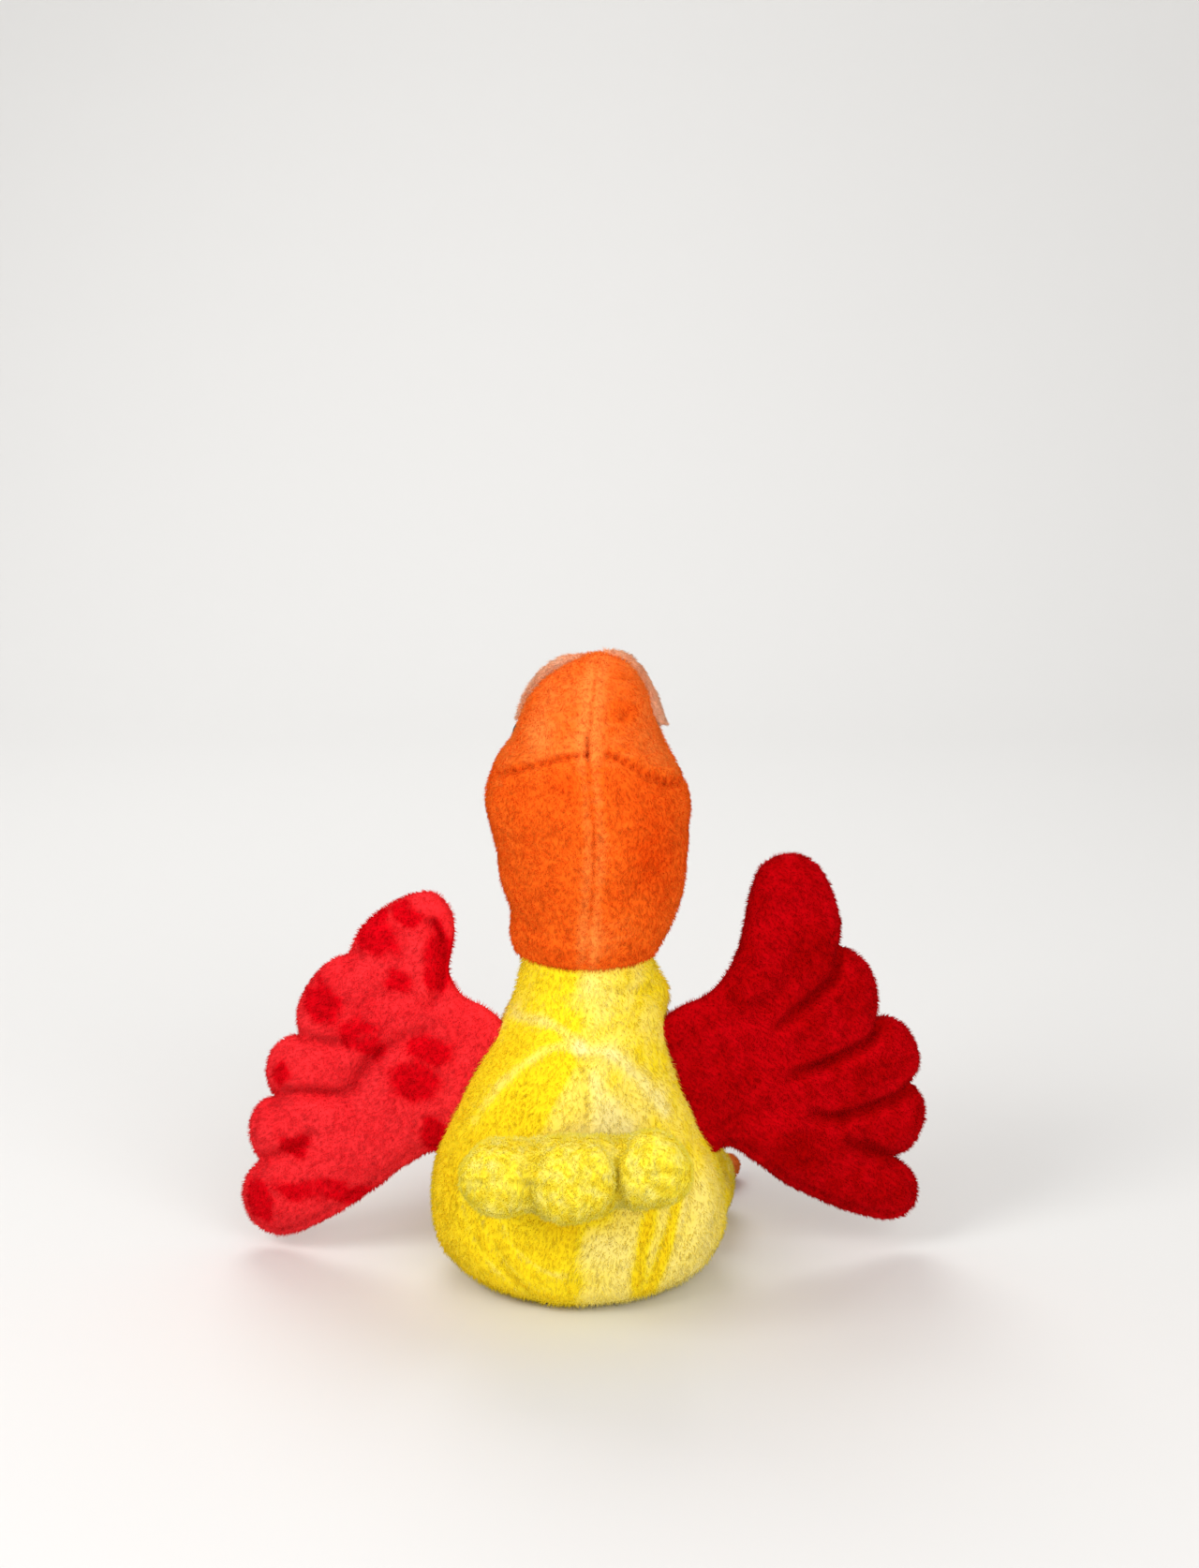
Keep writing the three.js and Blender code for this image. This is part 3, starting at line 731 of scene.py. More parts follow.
def build_hood():
    heights = np.linspace(HOOD_LEVELS[0][0], HOOD_LEVELS[-1][0], HOOD_ROWS)
    levels = smooth_table(HOOD_LEVELS, heights)
    hem_heights = NECK_SEAM + np.array([1.2, 0.6, 0.1])
    hem = np.repeat(levels[:1], 3, axis=0)
    hem[:, [0, 2, 3]] *= np.array([0.7, 0.88, 0.96])[:, None]
    heights = np.concatenate([hem_heights, heights[1:]])
    levels = np.vstack([hem, levels[1:]])
    half, centre, behind, front = levels.T
    hood = round_body("hood_cloth", heights, half, behind, front, centre, columns=220)
    points, vectors = coordinates(hood), normals(hood)
    cheeks = spot(np.abs(points), [30, 16, 189], [12, 22, 20])
    points = points + vectors * (0.8 * cheeks + 0.5 * waves(points, 30, 9))[:, None]
    set_coordinates(hood, points)
    points, sewn = creased(points, normals(hood), HOOD_CREASES, on_back(points))
    set_coordinates(hood, points)
    hem_line = (points[:, 2] < NECK_SEAM + 2) * 1.0
    top = (points[:, 2] > HEAD_TOP - 4) * 1.0
    side_seam = valley(points[:, 1] + 1, 1.5)
    puff(hood, np.clip(np.maximum.reduce([sewn, hem_line, top, side_seam]), 0, 1), pressure=3.0, most=1.8)
    points = coordinates(hood)
    points -= normals(hood) * (0.6 * valley(points[:, 1] + 1, 1.1))[:, None]
    set_coordinates(hood, points)
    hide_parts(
        "head_back_left", "head_back_right", "crown_left", "crown_right", "face_panel", "head_stuffing"
    )
    pieces = furred(
        hood, ORANGE, "orange_plush", hood_nap_light_and_shade, "hood_pile", HOOD_PILE, brushed(0, 0.2, -1), seed=21,
        lean=0.9, clump=0.45, keep=lambda root, normal: root[:, 2] > NECK_SEAM + 0.4,
    )
    for piece in pieces:
        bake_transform(piece)


# ---- pillows: two cloths sewn round an outline


def outline_of(sections, spacing=1.7):
    """A closed outline from sections of smooth curve; each section ends where the next one starts."""
    path = []
    for points in sections:
        points = np.array(points, float)
        length = np.linalg.norm(np.diff(points, axis=0), axis=1).sum()
        path.append(curve_points(points, max(3, int(length / spacing) + 1))[:-1])
    return np.vstack(path)


def inside(points, outline):
    """Which points lie inside a closed outline."""
    crossings = np.zeros(len(points), int)
    for start, end in zip(outline, np.roll(outline, -1, axis=0)):
        spans = (start[1] > points[:, 1]) != (end[1] > points[:, 1])
        rise = end[1] - start[1]
        rise = rise if abs(rise) > 1e-12 else 1e-12
        across = start[0] + (points[:, 1] - start[1]) * (end[0] - start[0]) / rise
        crossings += spans & (points[:, 0] < across)
    return crossings % 2 == 1


def pillow(name, outline, half_thickness, place, spacing=1.7, rings=(0.5, 1.4), crack=0.0):
    """Two cloths sewn together round an outline and filled; crack is how far the seam is drawn in.

    half_thickness(flat, edge, side) is the height over the middle sheet, and place(flat, lift) puts it in
    space. Returns the object, and for each point its place on the flat pattern, its distance from the rim and
    its side (+1 or -1).
    """
    closed = np.vstack([outline, outline[:1]])
    low, high = outline.min(0), outline.max(0)
    rows = np.arange(low[1], high[1], spacing * 0.87)
    grid = []
    for i, row in enumerate(rows):
        columns = np.arange(low[0] + spacing * 0.5 * (i % 2), high[0], spacing)
        grid.append(np.column_stack([columns, np.full(len(columns), row)]))
    grid = np.vstack(grid)
    grid = grid[inside(grid, outline)]
    grid = grid[nearest(grid, closed) > rings[-1] + spacing * 0.6]
    along = np.roll(outline, -1, axis=0) - np.roll(outline, 1, axis=0)
    across = np.column_stack([-along[:, 1], along[:, 0]]) / np.linalg.norm(along, axis=1, keepdims=True)
    near = []
    for offset in rings:
        for way in (1, -1):
            ring = outline + across * offset * way
            ring = ring[inside(ring, outline)]
            near.append(ring[nearest(ring, closed) > offset * 0.9])
    points = np.vstack([outline, *near, grid])
    made = geometry.delaunay_2d_cdt([Vector(p) for p in points], [], [list(range(len(outline)))], 1, 1e-5)
    flat = np.array([tuple(p) for p in made[0]])
    triangles = np.array([tuple(face) for face in made[2]])
    edge = nearest(flat, closed)
    on_rim = edge < 1e-3
    count = len(flat)
    twin = np.arange(count) + count
    twin[on_rim] = np.nonzero(on_rim)[0]
    faces = [tuple(face) for face in triangles] + [tuple(twin[face][::-1]) for face in triangles]
    used = np.zeros(2 * count, bool)
    used[np.array(faces).ravel()] = True
    index = np.cumsum(used) - 1
    faces = [tuple(int(index[i]) for i in face) for face in faces]
    flat = np.vstack([flat, flat])[used]
    edge = np.concatenate([edge, edge])[used]
    side = np.concatenate([np.ones(count), -np.ones(count)])[used]
    lift = half_thickness(flat, edge, side) * side * (edge > 1e-3)
    drawn = flat.copy()
    inward = across * np.where(inside(outline + across * 0.05, outline), 1, -1)[:, None]
    for i in np.nonzero(edge < 1e-3)[0]:
        drawn[i] += inward[np.argmin(np.linalg.norm(outline - flat[i], axis=1))] * crack
    obj = object_from(name, place(drawn, lift), faces)
    outward_faces(obj)
    return obj, flat, edge, side


def outward_faces(obj):
    mesh = bmesh.new()
    mesh.from_mesh(obj.data)
    bmesh.ops.recalc_face_normals(mesh, faces=mesh.faces)
    mesh.to_mesh(obj.data)
    mesh.free()


def domed(edge, reach, height):
    """Height of a stuffed cloth at a distance from its sewn edge."""
    share = 1 - np.clip(edge / reach, 0, 1)
    return height * np.sqrt(1 - share**2)


# ---- wings

WING_SWEEP = 0.26

# A wing's pattern is in millimetres out from its root and up. A groove's depth is a share of the wing's
# thickness, and each spot is where the nap shows its deep side, a few of them painted shade: out, up, half
# width, half height.
WING_LEFT = {
    "outline": [
        [[-18, 22], [-8, 30], [2, 35], [6, 43], [5, 52], [4, 60], [6, 68], [12, 73.5], [20, 73], [28, 69],
         [34, 65], [41, 57], [45, 48]],
        [[45, 48], [51, 46], [57, 41], [63, 33], [66.5, 24], [66, 14]],
        [[66, 14], [72, 12], [78, 6], [80, -3], [77, -12]],
        [[77, -12], [83, -15], [87, -22], [87, -32], [84, -39]],
        [[84, -39], [89, -45], [91.5, -52], [90, -61], [85, -67], [77, -69], [69, -67], [60, -62],
         [48, -54.5], [36, -45], [24, -35], [12, -28], [0, -32], [-10, -26]],
        [[-10, -26], [-18, -2], [-18, 22]],
    ],
    "grooves": [
        ([[77, -12], [68, -8], [58, -7], [47, -6], [37, 7], [24, 17], [9, 24]], 3.0, 0.62),
        ([[66, 14], [60, 14], [53, 14], [43, 14]], 2.8, 0.5),
        ([[84, -39], [79, -36], [64, -28], [57, -21]], 2.8, 0.5),
        ([[45, 48], [37, 51]], 2.6, 0.35),
        ([[11, 64], [8, 56], [7.5, 46], [9, 37], [13, 30]], 2.0, 0.7),
        ([[40, 28], [33, 34], [24, 38]], 4.0, 0.25),
    ],
    # the left wing faces the key lamp and is painted pale with painted light
    "tone": 0.86,
    "spot": 0.46,
    "spots": [
        [31, 57, 8, 8],
        [54, 29, 7, 9],
        [39, 18, 10, 8],
        [24, 41, 5, 5],
        [17, 1, 10, 8],
        [67, -29, 7, 5],
        [82, -52, 6, 9],
        [9, -20, 7, 8],
        [72, -1, 4, 5],
        # painted shade on the curled top lobe
        [21, 67, 7, 4],
        # painted shade along the lower edge, where the wing rounds under
        [52, -46, 24, 5],
        [12, 14, 9, 6],
        # painted shade on the inner edge of the curled top lobe
        [9, 50, 4, 13],
        [34, 65, 5, 4],
    ],
}
WING_RIGHT = {
    "outline": [
        [[-18, 24], [-7, 31], [3, 35], [9, 41], [13, 48], [16, 57], [18, 67], [20, 76], [23, 83], [29, 87],
         [37, 87.5], [44, 84], [49, 77], [52, 69], [54, 60], [54, 51]],
        [[54, 51], [60, 48], [66, 42], [69.5, 33], [70, 21]],
        [[70, 21], [76, 20], [82, 16], [87, 8], [88, 0], [85, -7]],
        [[85, -7], [89.5, -13], [91, -20], [89, -29], [84, -35], [79, -37]],
        [[79, -37], [84, -41], [88.5, -48], [88, -57], [84, -61], [77, -62.5], [69, -60.5], [60, -57],
         [47, -50.5], [34, -43], [22, -33], [10, -26], [0, -31], [-10, -26]],
        [[-10, -26], [-18, -2], [-18, 24]],
    ],
    "grooves": [
        ([[54, 51], [51, 41], [43, 33], [34, 26], [25, 20]], 2.4, 0.6),
        ([[70, 20], [68, 16], [58, 10], [48, 6], [39, 4], [31, 1]], 2.4, 0.68),
        ([[85, -7], [80, -10], [68, -13], [56, -16], [47, -15], [40, -12]], 2.4, 0.68),
        ([[79, -37], [70, -33], [62, -29], [55, -25]], 2.6, 0.55),
        ([[10, 36], [17, 31], [26, 34], [31, 44]], 3.4, 0.25),
    ],
    # the right wing is turned from the key lamp and is painted deep with painted shade
    "tone": 0.12,
    "spot": 0.10,
    "spots": [
        [58, 30, 9, 7],
        [40, 50, 9, 12],
        [70, 2, 9, 6],
        [40, -28, 14, 8],
        [72, -48, 9, 6],
    ],
}


def wing_place(word, side):
    """Puts points of a wing's pattern (out, up) in space, lifted towards the back."""
    out = np.array([side * math.cos(WING_SWEEP), -math.sin(WING_SWEEP), 0])
    back = np.array([side * math.sin(WING_SWEEP), math.cos(WING_SWEEP), 0])
    hinge = joint_centre(f"wing_{word}_swing")
    root = hinge - 0.75 * out + 1.0 * UP

    def place(flat, lift):
        cup = 2.6 * np.sin(np.clip(flat[:, 0] / 90, 0, 1) * math.pi)
        cup += 1.2 * waves(np.column_stack([flat, 0 * cup]), 46, 31 + side)
        return root + flat[:, :1] * out + flat[:, 1:2] * UP + (lift + cup)[:, None] * back

    return place, hinge, root, out


def build_wing(word, side, pattern, seed):
    place, hinge, root, out = wing_place(word, side)
    outline = outline_of(pattern["outline"])
    channels = [(curve_points(line), width, depth) for line, width, depth in pattern["grooves"]]

    def pinch(flat):
        held = np.zeros(len(flat))
        for line, width, depth in channels:
            distance, along = nearest(flat, line, with_place=True)
            fade = np.clip((1 - along) / 0.35, 0, 1) ** 0.5
            held = np.maximum(held, depth * fade * valley(distance, width))
        return held

    def thickness(flat, edge, side_of):
        away = np.clip((flat[:, 0] + 4) / 26, 0, 1)
        full = domed(edge, 12, 5.4 + 2.0 * away)
        hem = valley(edge - 3.4, 1.0) * step_between(-18 - flat[:, 1], 3.0)
        return full * (1 - pinch(flat)) * (1 - 0.30 * hem)

    # nap tone of the wing, with its painted light, painted shade and darker grooves
    def nap(points):
        flat = np.column_stack([(points - root) @ out, (points - root) @ UP])
        spread = flat + 2.2 * np.column_stack([waves(points, 12, seed + 1), waves(points, 12, seed + 2)])
        deep = np.zeros(len(points))
        for across, high, half, tall in pattern["spots"]:
            away = np.linalg.norm((spread - [across, high]) / [half, tall], axis=1)
            deep = np.maximum(deep, step_between(1 - away, 0.10))
        # the grooves are painted darker as shade; the pattern's tone is painted light on the left wing and
        # painted shade on the right
        tone = pattern["tone"] - pattern["spot"] * deep - 0.30 * pinch(flat)
        return tone + 0.07 * waves(points, 9, seed + 4)

    wing, flat, edge, _ = pillow(
        f"wing_{word}_cloth", outline, thickness, place, spacing=1.5, rings=(0.4, 1.2, 2.4), crack=0.5
    )
    hold = np.maximum(np.clip(1.4 * pinch(flat), 0, 1), (edge < 0.8) * 1.0)
    puff(wing, np.clip(hold, 0, 1), pressure=3.0, most=2.2)
    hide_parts(f"wing_{word}_front", f"wing_{word}_back", f"wing_{word}_stuffing")
    comb = brushed(*(out * 0.7 - UP * 0.7))
    for piece in furred(wing, RED, "red_plush", nap, f"wing_{word}_pile", WING_PILE, comb, seed):
        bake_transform(piece)


# ---- tail

TAIL_TILT = 0.26
TAIL_SIDES = [40.5, -37.5]
TAIL_LOBES = [
    # centre across, half width, reach, half height, how much higher it sits
    [28.5, 15.0, 37.0, 12.6, -0.8],
    [2.5, 18.0, 42.0, 14.0, -1.6],
    [-24.5, 14.5, 38.0, 13.0, 3.4],
]
TAIL_PINCHES = [17.0, -12.4]  # where the cloth is drawn in between lobes


def tail_outline():
    """Three rounded lobes side by side; each pinch goes in between two of them."""
    edge = TAIL_LOBES[0]
    sections = [[[TAIL_SIDES[0] - 3, -12], [TAIL_SIDES[0], 4], [edge[0] + edge[1], edge[2] - edge[1] * 0.8]]]
    for i, (x, half, reach, _, _) in enumerate(TAIL_LOBES):
        angles = np.linspace(0, math.pi, 9)
        arc = [[x + half * math.cos(a), reach - half * 0.8 * (1 - math.sin(a))] for a in angles]
        if i > 0:
            arc = [[TAIL_PINCHES[i - 1], reach - 8]] + arc[2:]
        if i < len(TAIL_PINCHES):
            arc = arc[:-2] + [[TAIL_PINCHES[i], TAIL_LOBES[i + 1][2] - 8]]
        sections.append(arc)
    last = sections[-1][-1]
    sections.append([last, [TAIL_SIDES[1], 4], [TAIL_SIDES[1] + 3, -12]])
    sections.append([sections[-1][-1], sections[0][0]])
    return outline_of(sections, 1.3)


def tail_nap(points):
    return 0.50 + 0.22 * waves(points, 7, 43) + 0.14 * waves(points, 3.4, 44)


def build_tail():
    root = joint_centre("tail_lift") + np.array([0, -2.5, 0])
    away = np.array([0.0, math.cos(TAIL_TILT), math.sin(TAIL_TILT)])
    up = np.array([0.0, -math.sin(TAIL_TILT), math.cos(TAIL_TILT)])

    def pinch(flat):
        held = np.zeros(len(flat))
        for x in TAIL_PINCHES:
            held = np.maximum(held, valley(flat[:, 0] - x, 3.0) * np.clip((flat[:, 1] - 2) / 20, 0, 1))
        return held

    def thickness(flat, edge, side):
        height = np.zeros(len(flat))
        for x, half, _, tall, _ in TAIL_LOBES:
            round_over = np.sqrt(np.clip(1 - ((flat[:, 0] - x) / (half * 2.0)) ** 2, 0, 1))
            height = np.maximum(height, tall * round_over)
        full = domed(edge, 12.5, 1.0) * height * (1 - 0.13 * pinch(flat))
        return full * (0.6 + 0.4 * np.clip((flat[:, 1] + 4) / 14, 0, 1))

    def place(flat, lift):
        rise = np.zeros(len(flat))
        for x, half, _, _, higher in TAIL_LOBES:
            rise += higher * valley(flat[:, 0] - x, half)
        rise *= np.clip(flat[:, 1] / 30, 0, 1)
        rise += 0.7 * waves(np.column_stack([flat, 0 * rise]), 30, 42)
        return root + flat[:, :1] * ACROSS + flat[:, 1:2] * away + (lift + rise)[:, None] * up

    tail, flat, edge, _ = pillow(
        "tail_cloth", tail_outline(), thickness, place, spacing=1.4, rings=(0.15, 0.7, 1.6), crack=0.9
    )
    hold = np.maximum.reduce([(edge < 0.2) * 1.0, 0.6 * (flat[:, 1] < 0), 0.8 * pinch(flat)])
    puff(tail, np.clip(hold, 0, 1), pressure=4.0, most=2.0)
    points = coordinates(tail)
    points += normals(tail) * (0.6 * waves(points, 9, 41) * (edge > 0.5))[:, None]
    set_coordinates(tail, points)
    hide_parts("tail_upper", "tail_under", "tail_stuffing")
    pieces = furred(
        tail, TAIL_YELLOW, "yellow_plush", tail_nap, "tail_pile", TAIL_PILE, brushed(0.2, 1, -0.5), seed=51,
        lean=1.0, clump=0.3, keep=lambda root, normal: root[:, 1] > 30,
    )
    for piece in pieces:
        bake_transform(piece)


# ---- legs and feet

LEG_RADIUS = 15.5
FOOT_SIDE = [
    [0, 5], [-5, 3.5], [-8, -2], [-11, -12], [-17, -23],
    [-17.5, -28], [-14, -31.5], [-10, -30.5], [-6.5, -27.5],
]
FOOT_OUTLINE = [
    FOOT_SIDE,
    [[-6.5, -27.5], [-5.5, -31], [-3, -34.5], [0, -36], [3, -34.5], [5.5, -31], [6.5, -27.5]],
    [[-x, y] for x, y in reversed(FOOT_SIDE)],
]
FOOT_HALF = 6.3  # half the foot's height
TOE_FOLDS = [[[side * 6.5, -27.5], [side * 4, -14]] for side in (-1, 1)]


def keep_above(obj, height):
    points = coordinates(obj)
    points[:, 2] = np.maximum(points[:, 2], height)
    set_coordinates(obj, points)


def short_nap(points):
    return 0.45 + 0.25 * waves(points, 14, 63)


def build_leg(word, seed):
    knee = joint_centre(f"leg_{word}_raise")
    ankle = joint_centre(f"foot_{word}_flex")
    forward = (ankle - knee) * [1, 1, 0]
    forward /= np.linalg.norm(forward)
    across = np.cross(UP, -forward)
    hip = knee - forward * 12
    hip[2] = LEG_RADIUS + 1.2
    length = float((ankle - hip) @ forward) + 2.5
    steps = np.linspace(0, 1, 44)
    ankle_taper = np.clip(1 - (np.clip(steps - 0.72, 0, 1) / 0.29) ** 2.6, 0.06, 1)
    swell = LEG_RADIUS * (0.9 + 0.1 * np.sin(steps * math.pi)) * ankle_taper
    leg = round_body(f"leg_{word}_cloth", steps * length, swell, swell, swell, steps * 0, columns=80)
    points = coordinates(leg)
    spun = hip + points[:, 2:3] * forward + points[:, :1] * across + points[:, 1:2] * UP
    spun[:, 2] -= 0.16 * (spun - hip) @ forward * 0.35
    spun[:, 2] = np.maximum(spun[:, 2], 0.2)
    set_coordinates(leg, spun)
    outward_faces(leg)
    flat_side = (spun[:, 2] < 1.5) * 1.0
    puff(leg, np.clip(np.maximum(flat_side, points[:, 2] > length - 3), 0, 1), pressure=2.5, most=1.5)
    keep_above(leg, 0.2)
    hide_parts(f"leg_{word}_cover", f"leg_{word}_stuffing")
    comb = brushed(*(forward * 0.7 - UP * 0.5))
    for piece in furred(leg, YELLOW, "yellow_plush", short_nap, f"leg_{word}_pile", LEG_PILE, comb, seed):
        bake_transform(piece)
    build_foot(word, ankle, forward, across, seed + 3)


def build_foot(word, ankle, forward, across, seed):
    outline = outline_of(FOOT_OUTLINE, 1.3)
    folds = [curve_points(line) for line in TOE_FOLDS]
    middle = ankle - forward * 1.0
    middle[2] = FOOT_HALF

    def thickness(flat, edge, side):
        full = domed(edge, 8, FOOT_HALF)
        for line in folds:
            distance, along = nearest(flat, line, with_place=True)
            full *= 1 - 0.6 * (1 - along) ** 0.5 * valley(distance, 2.0) * (side > 0)
        heel = np.clip((flat[:, 1] + 22) / 20, 0, 1)
        return np.where(side > 0, full * (0.85 + 0.35 * heel), np.minimum(full, FOOT_HALF - 0.6))

    def place(flat, lift):
        return middle + flat[:, :1] * across - flat[:, 1:2] * forward + lift[:, None] * UP

    foot, flat, edge, sides = pillow(f"foot_{word}_cloth", outline, thickness, place, spacing=1.3)
    hold = np.maximum((edge < 0.8) * 1.0, (sides < 0) * 0.9)
    for line in folds:
        hold = np.maximum(hold, 0.7 * valley(nearest(flat, line), 1.4))
    puff(foot, np.clip(hold, 0, 1), pressure=2.5, most=1.2)
    keep_above(foot, 0.3)
    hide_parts(f"foot_{word}_upper", f"foot_{word}_sole", f"foot_{word}_stuffing")
    comb = brushed(*(forward - UP * 0.2))
    for piece in furred(foot, FOOT, "foot_plush", short_nap, f"foot_{word}_pile", FOOT_PILE, comb, seed):
        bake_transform(piece)


# ---- beak, eyes and crown flaps

BEAK_ROOT = np.array([0.0, -30.0, 182.0])
BEAK_DROP = math.radians(10)
BEAK_UPPER = {"half": 17.0, "length": 42.0, "tall": 14.0}
BEAK_LOWER = {"half": 14.0, "length": 31.0, "tall": 9.0}


def build_beak_half(word, sizes, above):
    forward = np.array([0.0, -math.cos(BEAK_DROP), -math.sin(BEAK_DROP)])
    up = np.array([0.0, -math.sin(BEAK_DROP), math.cos(BEAK_DROP)])
    half, length, tall = sizes["half"], sizes["length"], sizes["tall"]
    front = [[half * math.cos(a), length * math.sin(a)] for a in np.linspace(0, math.pi, 15)]
    back = [[-half, -6], [half, -6]]
    outline = outline_of([front, [front[-1], back[0]], back, [back[1], front[0]]], 1.3)

    def thickness(flat, edge, side):
        arch = np.sqrt(np.clip(1 - (flat[:, 0] / half) ** 2, 0, 1))
        slope = np.clip(1.05 - np.clip(flat[:, 1] / length, 0, 1) ** 1.6 * 0.62, 0, 1)
        outer = domed(edge, 9, tall) * np.maximum(arch, 0.25) ** 0.6 * slope
        return np.where(side == (1 if above else -1), outer, 0.25)

    def place(flat, lift):
        gap = 0.5 if above else -0.5
        curve = -0.9 * (np.clip(flat[:, 1] / length, 0, 1) ** 2) * (1 if above else 0.3)
        return BEAK_ROOT + flat[:, :1] * ACROSS + flat[:, 1:2] * forward + (lift + gap + curve)[:, None] * up

    name = f"beak_{word}"
    beak, flat, edge, sides = pillow(f"{name}_cloth", outline, thickness, place, spacing=1.3)
    hold = np.maximum((edge < 0.8) * 1.0, 0.8 * (sides != (1 if above else -1)))
    puff(beak, np.clip(hold, 0, 1), 2.5, 1.2)
    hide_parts(name)
    pieces = furred(
        beak, BEAK, "beak_plush", short_nap, f"{name}_pile", BEAK_PILE, brushed(0, -1, -0.1), seed=71 + above,
        keep=lambda root, normal: root[:, 1] < -33,
    )
    for piece in pieces:
        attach(piece, "head")


def build_crest(word, side, seed):
    """A crescent of pale plush sewn into the crown's side seam, free at its lower tip."""
    if side > 0:
        outer = [[0, 239.5], [7, 238.8], [13.5, 235], [18.2, 229.4], [21.6, 223.2], [24.4, 215.5]]
        inner = [[24.4, 215.5], [18, 216], [14, 221], [8, 227.5], [0, 232]]
    else:
        outer = [[8, 241.5], [16.4, 239.6], [22, 234.4], [25.8, 227.8], [28.6, 221], [31.2, 213]]
        inner = [[31.2, 213], [24.5, 214], [19.6, 219.5], [13.6, 227], [8, 233]]
    sections = [outer, inner, [inner[-1], outer[0]]]
    outline = outline_of([[[side * x, z] for x, z in line] for line in sections], 1.2)

    def thickness(flat, edge, side_of):
        return domed(edge, 3.2, 2.3)

    def place(flat, lift):
        lean = -4.5 + 0.05 * (flat[:, 1] - 225)
        return np.column_stack([flat[:, 0], lean + lift, flat[:, 1]])

    flap, _, _, _ = pillow(f"crest_{word}_cloth", outline, thickness, place, spacing=1.1, rings=(0.5,))
    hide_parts(f"crest_{word}")
    comb = brushed(side * 0.6, 0.1, -0.7)
    pieces = furred(
        flap, PEACH, "peach_plush", short_nap, f"crest_{word}_pile", CREST_PILE, comb, seed=seed, lean=1.3
    )
    for piece in pieces:
        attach(piece, "head")


EYE_FLATNESS = 0.62


def build_eye(word):
    low, high = box_mm(f"eye_{word}")
    radius = (high[0] - low[0]) / 2
    steps = np.linspace(0, 1, 20)
    profile = radius * np.sin(np.arccos(np.clip(1 - 2 * steps, -1, 1)))
    eye = round_body(f"eye_{word}_dome", steps, profile, profile, profile, steps * 0, columns=48)
    points = coordinates(eye)
    centre = np.array([(low[0] + high[0]) / 2, low[1] + radius * EYE_FLATNESS, (low[2] + high[2]) / 2])
    out = (1 - 2 * points[:, 2]) * radius * EYE_FLATNESS
    placed = np.column_stack([centre[0] + points[:, 0], centre[1] - out, centre[2] + points[:, 1]])
    set_coordinates(eye, placed)
    outward_faces(eye)
    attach(eye, "head")
    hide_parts(f"eye_{word}")
    dress(eye, EYE)


# ---- everything together

build_torso()
build_hood()
build_wing("left", 1, WING_LEFT, 31)
build_wing("right", -1, WING_RIGHT, 32)
build_tail()
build_leg("left", 61)
build_leg("right", 62)
build_beak_half("upper", BEAK_UPPER, True)
build_beak_half("lower", BEAK_LOWER, False)
build_crest("left", 1, 81)
build_crest("right", -1, 82)
build_eye("left")
build_eye("right")

CARRIED_OVER = {"pellet_pouch": COTTON, "eye_washer_left": NYLON, "eye_washer_right": NYLON}
for kept_node, finish_material in CARRIED_OVER.items():
    kept_mesh = frame["nodes"][kept_node].data
    kept_mesh.materials.clear()
    kept_mesh.materials.append(finish_material)


# ---- floor, light and camera


PAPER_COLOUR = (0.76, 0.754, 0.742, 1)
PAPER_HALF_WIDTH = 4000
PAPER_REACH = 3000  # behind the bird, and up the wall
PAPER_TURN = -900  # where the floor starts to turn up into the wall
PAPER_RADIUS = 500


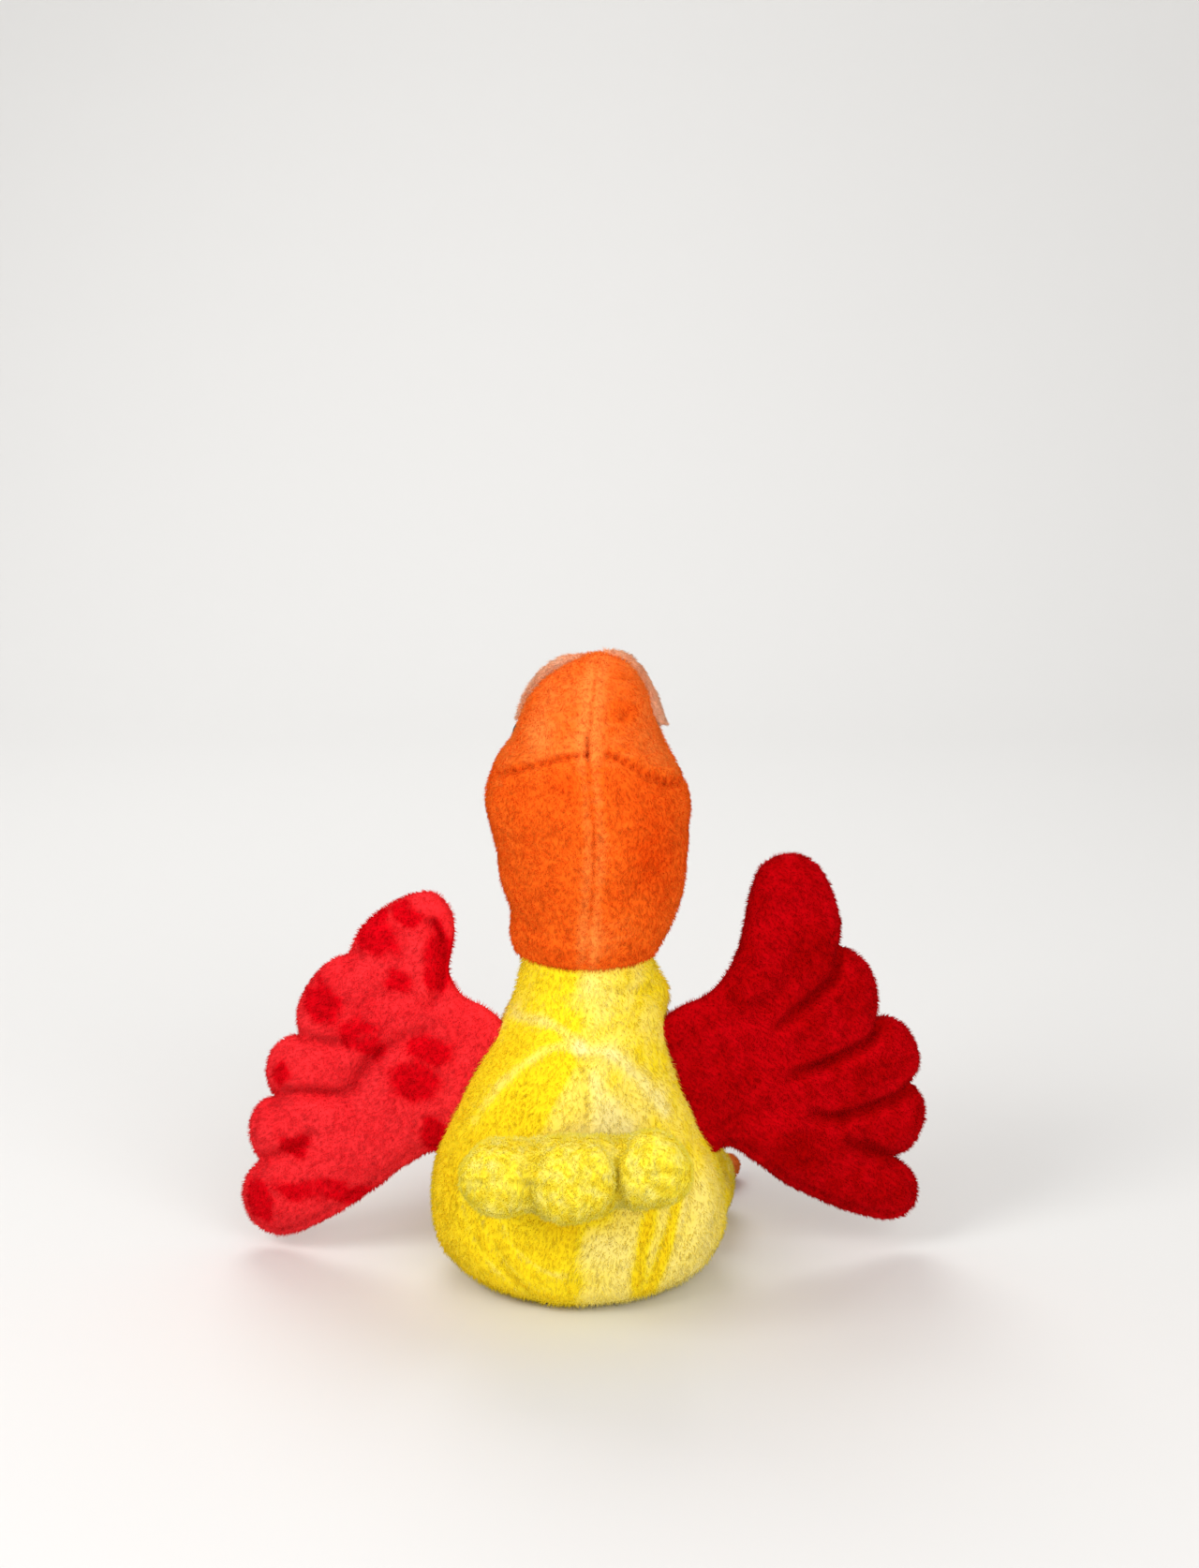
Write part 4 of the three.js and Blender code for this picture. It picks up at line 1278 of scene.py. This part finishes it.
def build_floor():
    points, faces = [], []
    profile = [[PAPER_REACH, 0], [PAPER_TURN, 0]]
    for a in np.linspace(0.1, math.pi / 2, 12):
        profile.append([PAPER_TURN - PAPER_RADIUS * math.sin(a), PAPER_RADIUS - PAPER_RADIUS * math.cos(a)])
    profile += [[PAPER_TURN - PAPER_RADIUS, PAPER_REACH]]
    for y, z in profile:
        points += [[-PAPER_HALF_WIDTH, y, z], [PAPER_HALF_WIDTH, y, z]]
    for i in range(len(profile) - 1):
        faces.append((2 * i, 2 * i + 1, 2 * i + 3, 2 * i + 2))
    floor = object_from("floor", points, faces)
    material, _, shader = shader_tree("pale_paper")
    shader.inputs["Base Color"].default_value = PAPER_COLOUR
    shader.inputs["Roughness"].default_value = 0.85
    floor.data.materials.append(material)


ROOM_LIGHT = 0.56
ROOM_COLOUR = (1.0, 0.99, 0.98, 1)


def area_light(name, place, aim, size, power):
    light = bpy.data.lights.new(name, "AREA")
    light.shape = "DISK"
    light.size = size
    light.energy = power
    lamp = bpy.data.objects.new(name, light)
    bpy.context.scene.collection.objects.link(lamp)
    lamp.location = place
    lamp.rotation_euler = (Vector(aim) - Vector(place)).to_track_quat("-Z", "Y").to_euler()


def build_light():
    world = bpy.data.worlds.new("studio")
    bpy.context.scene.world = world
    world.use_nodes = True
    background = world.node_tree.nodes["Background"]
    background.inputs["Color"].default_value = ROOM_COLOUR
    background.inputs["Strength"].default_value = ROOM_LIGHT
    bpy.context.scene.view_settings.view_transform = "Standard"
    middle = (0, 0, 0.11)
    area_light("key", (0.85, 0.75, 0.95), middle, size=0.7, power=9)
    area_light("back_rim", (0.2, -0.9, 1.1), middle, size=0.8, power=6)
    area_light("front_soft", (-0.7, 1.4, 0.75), middle, size=1.4, power=15)


CAMERA_TILT = math.radians(14)
CAMERA_TARGET = Vector((-0.0064, 0, 0.1915))
CAMERA_DISTANCE = 1.125
CAMERA_LENS = 69.9


def build_camera():
    camera = bpy.data.cameras.new("camera")
    camera.lens = CAMERA_LENS
    holder = bpy.data.objects.new("camera", camera)
    bpy.context.scene.collection.objects.link(holder)
    away = Vector((0, math.cos(CAMERA_TILT), math.sin(CAMERA_TILT)))
    holder.location = CAMERA_TARGET + away * CAMERA_DISTANCE
    holder.rotation_euler = (-away).to_track_quat("-Z", "Y").to_euler()
    bpy.context.scene.camera = holder


build_floor()
build_light()
build_camera()
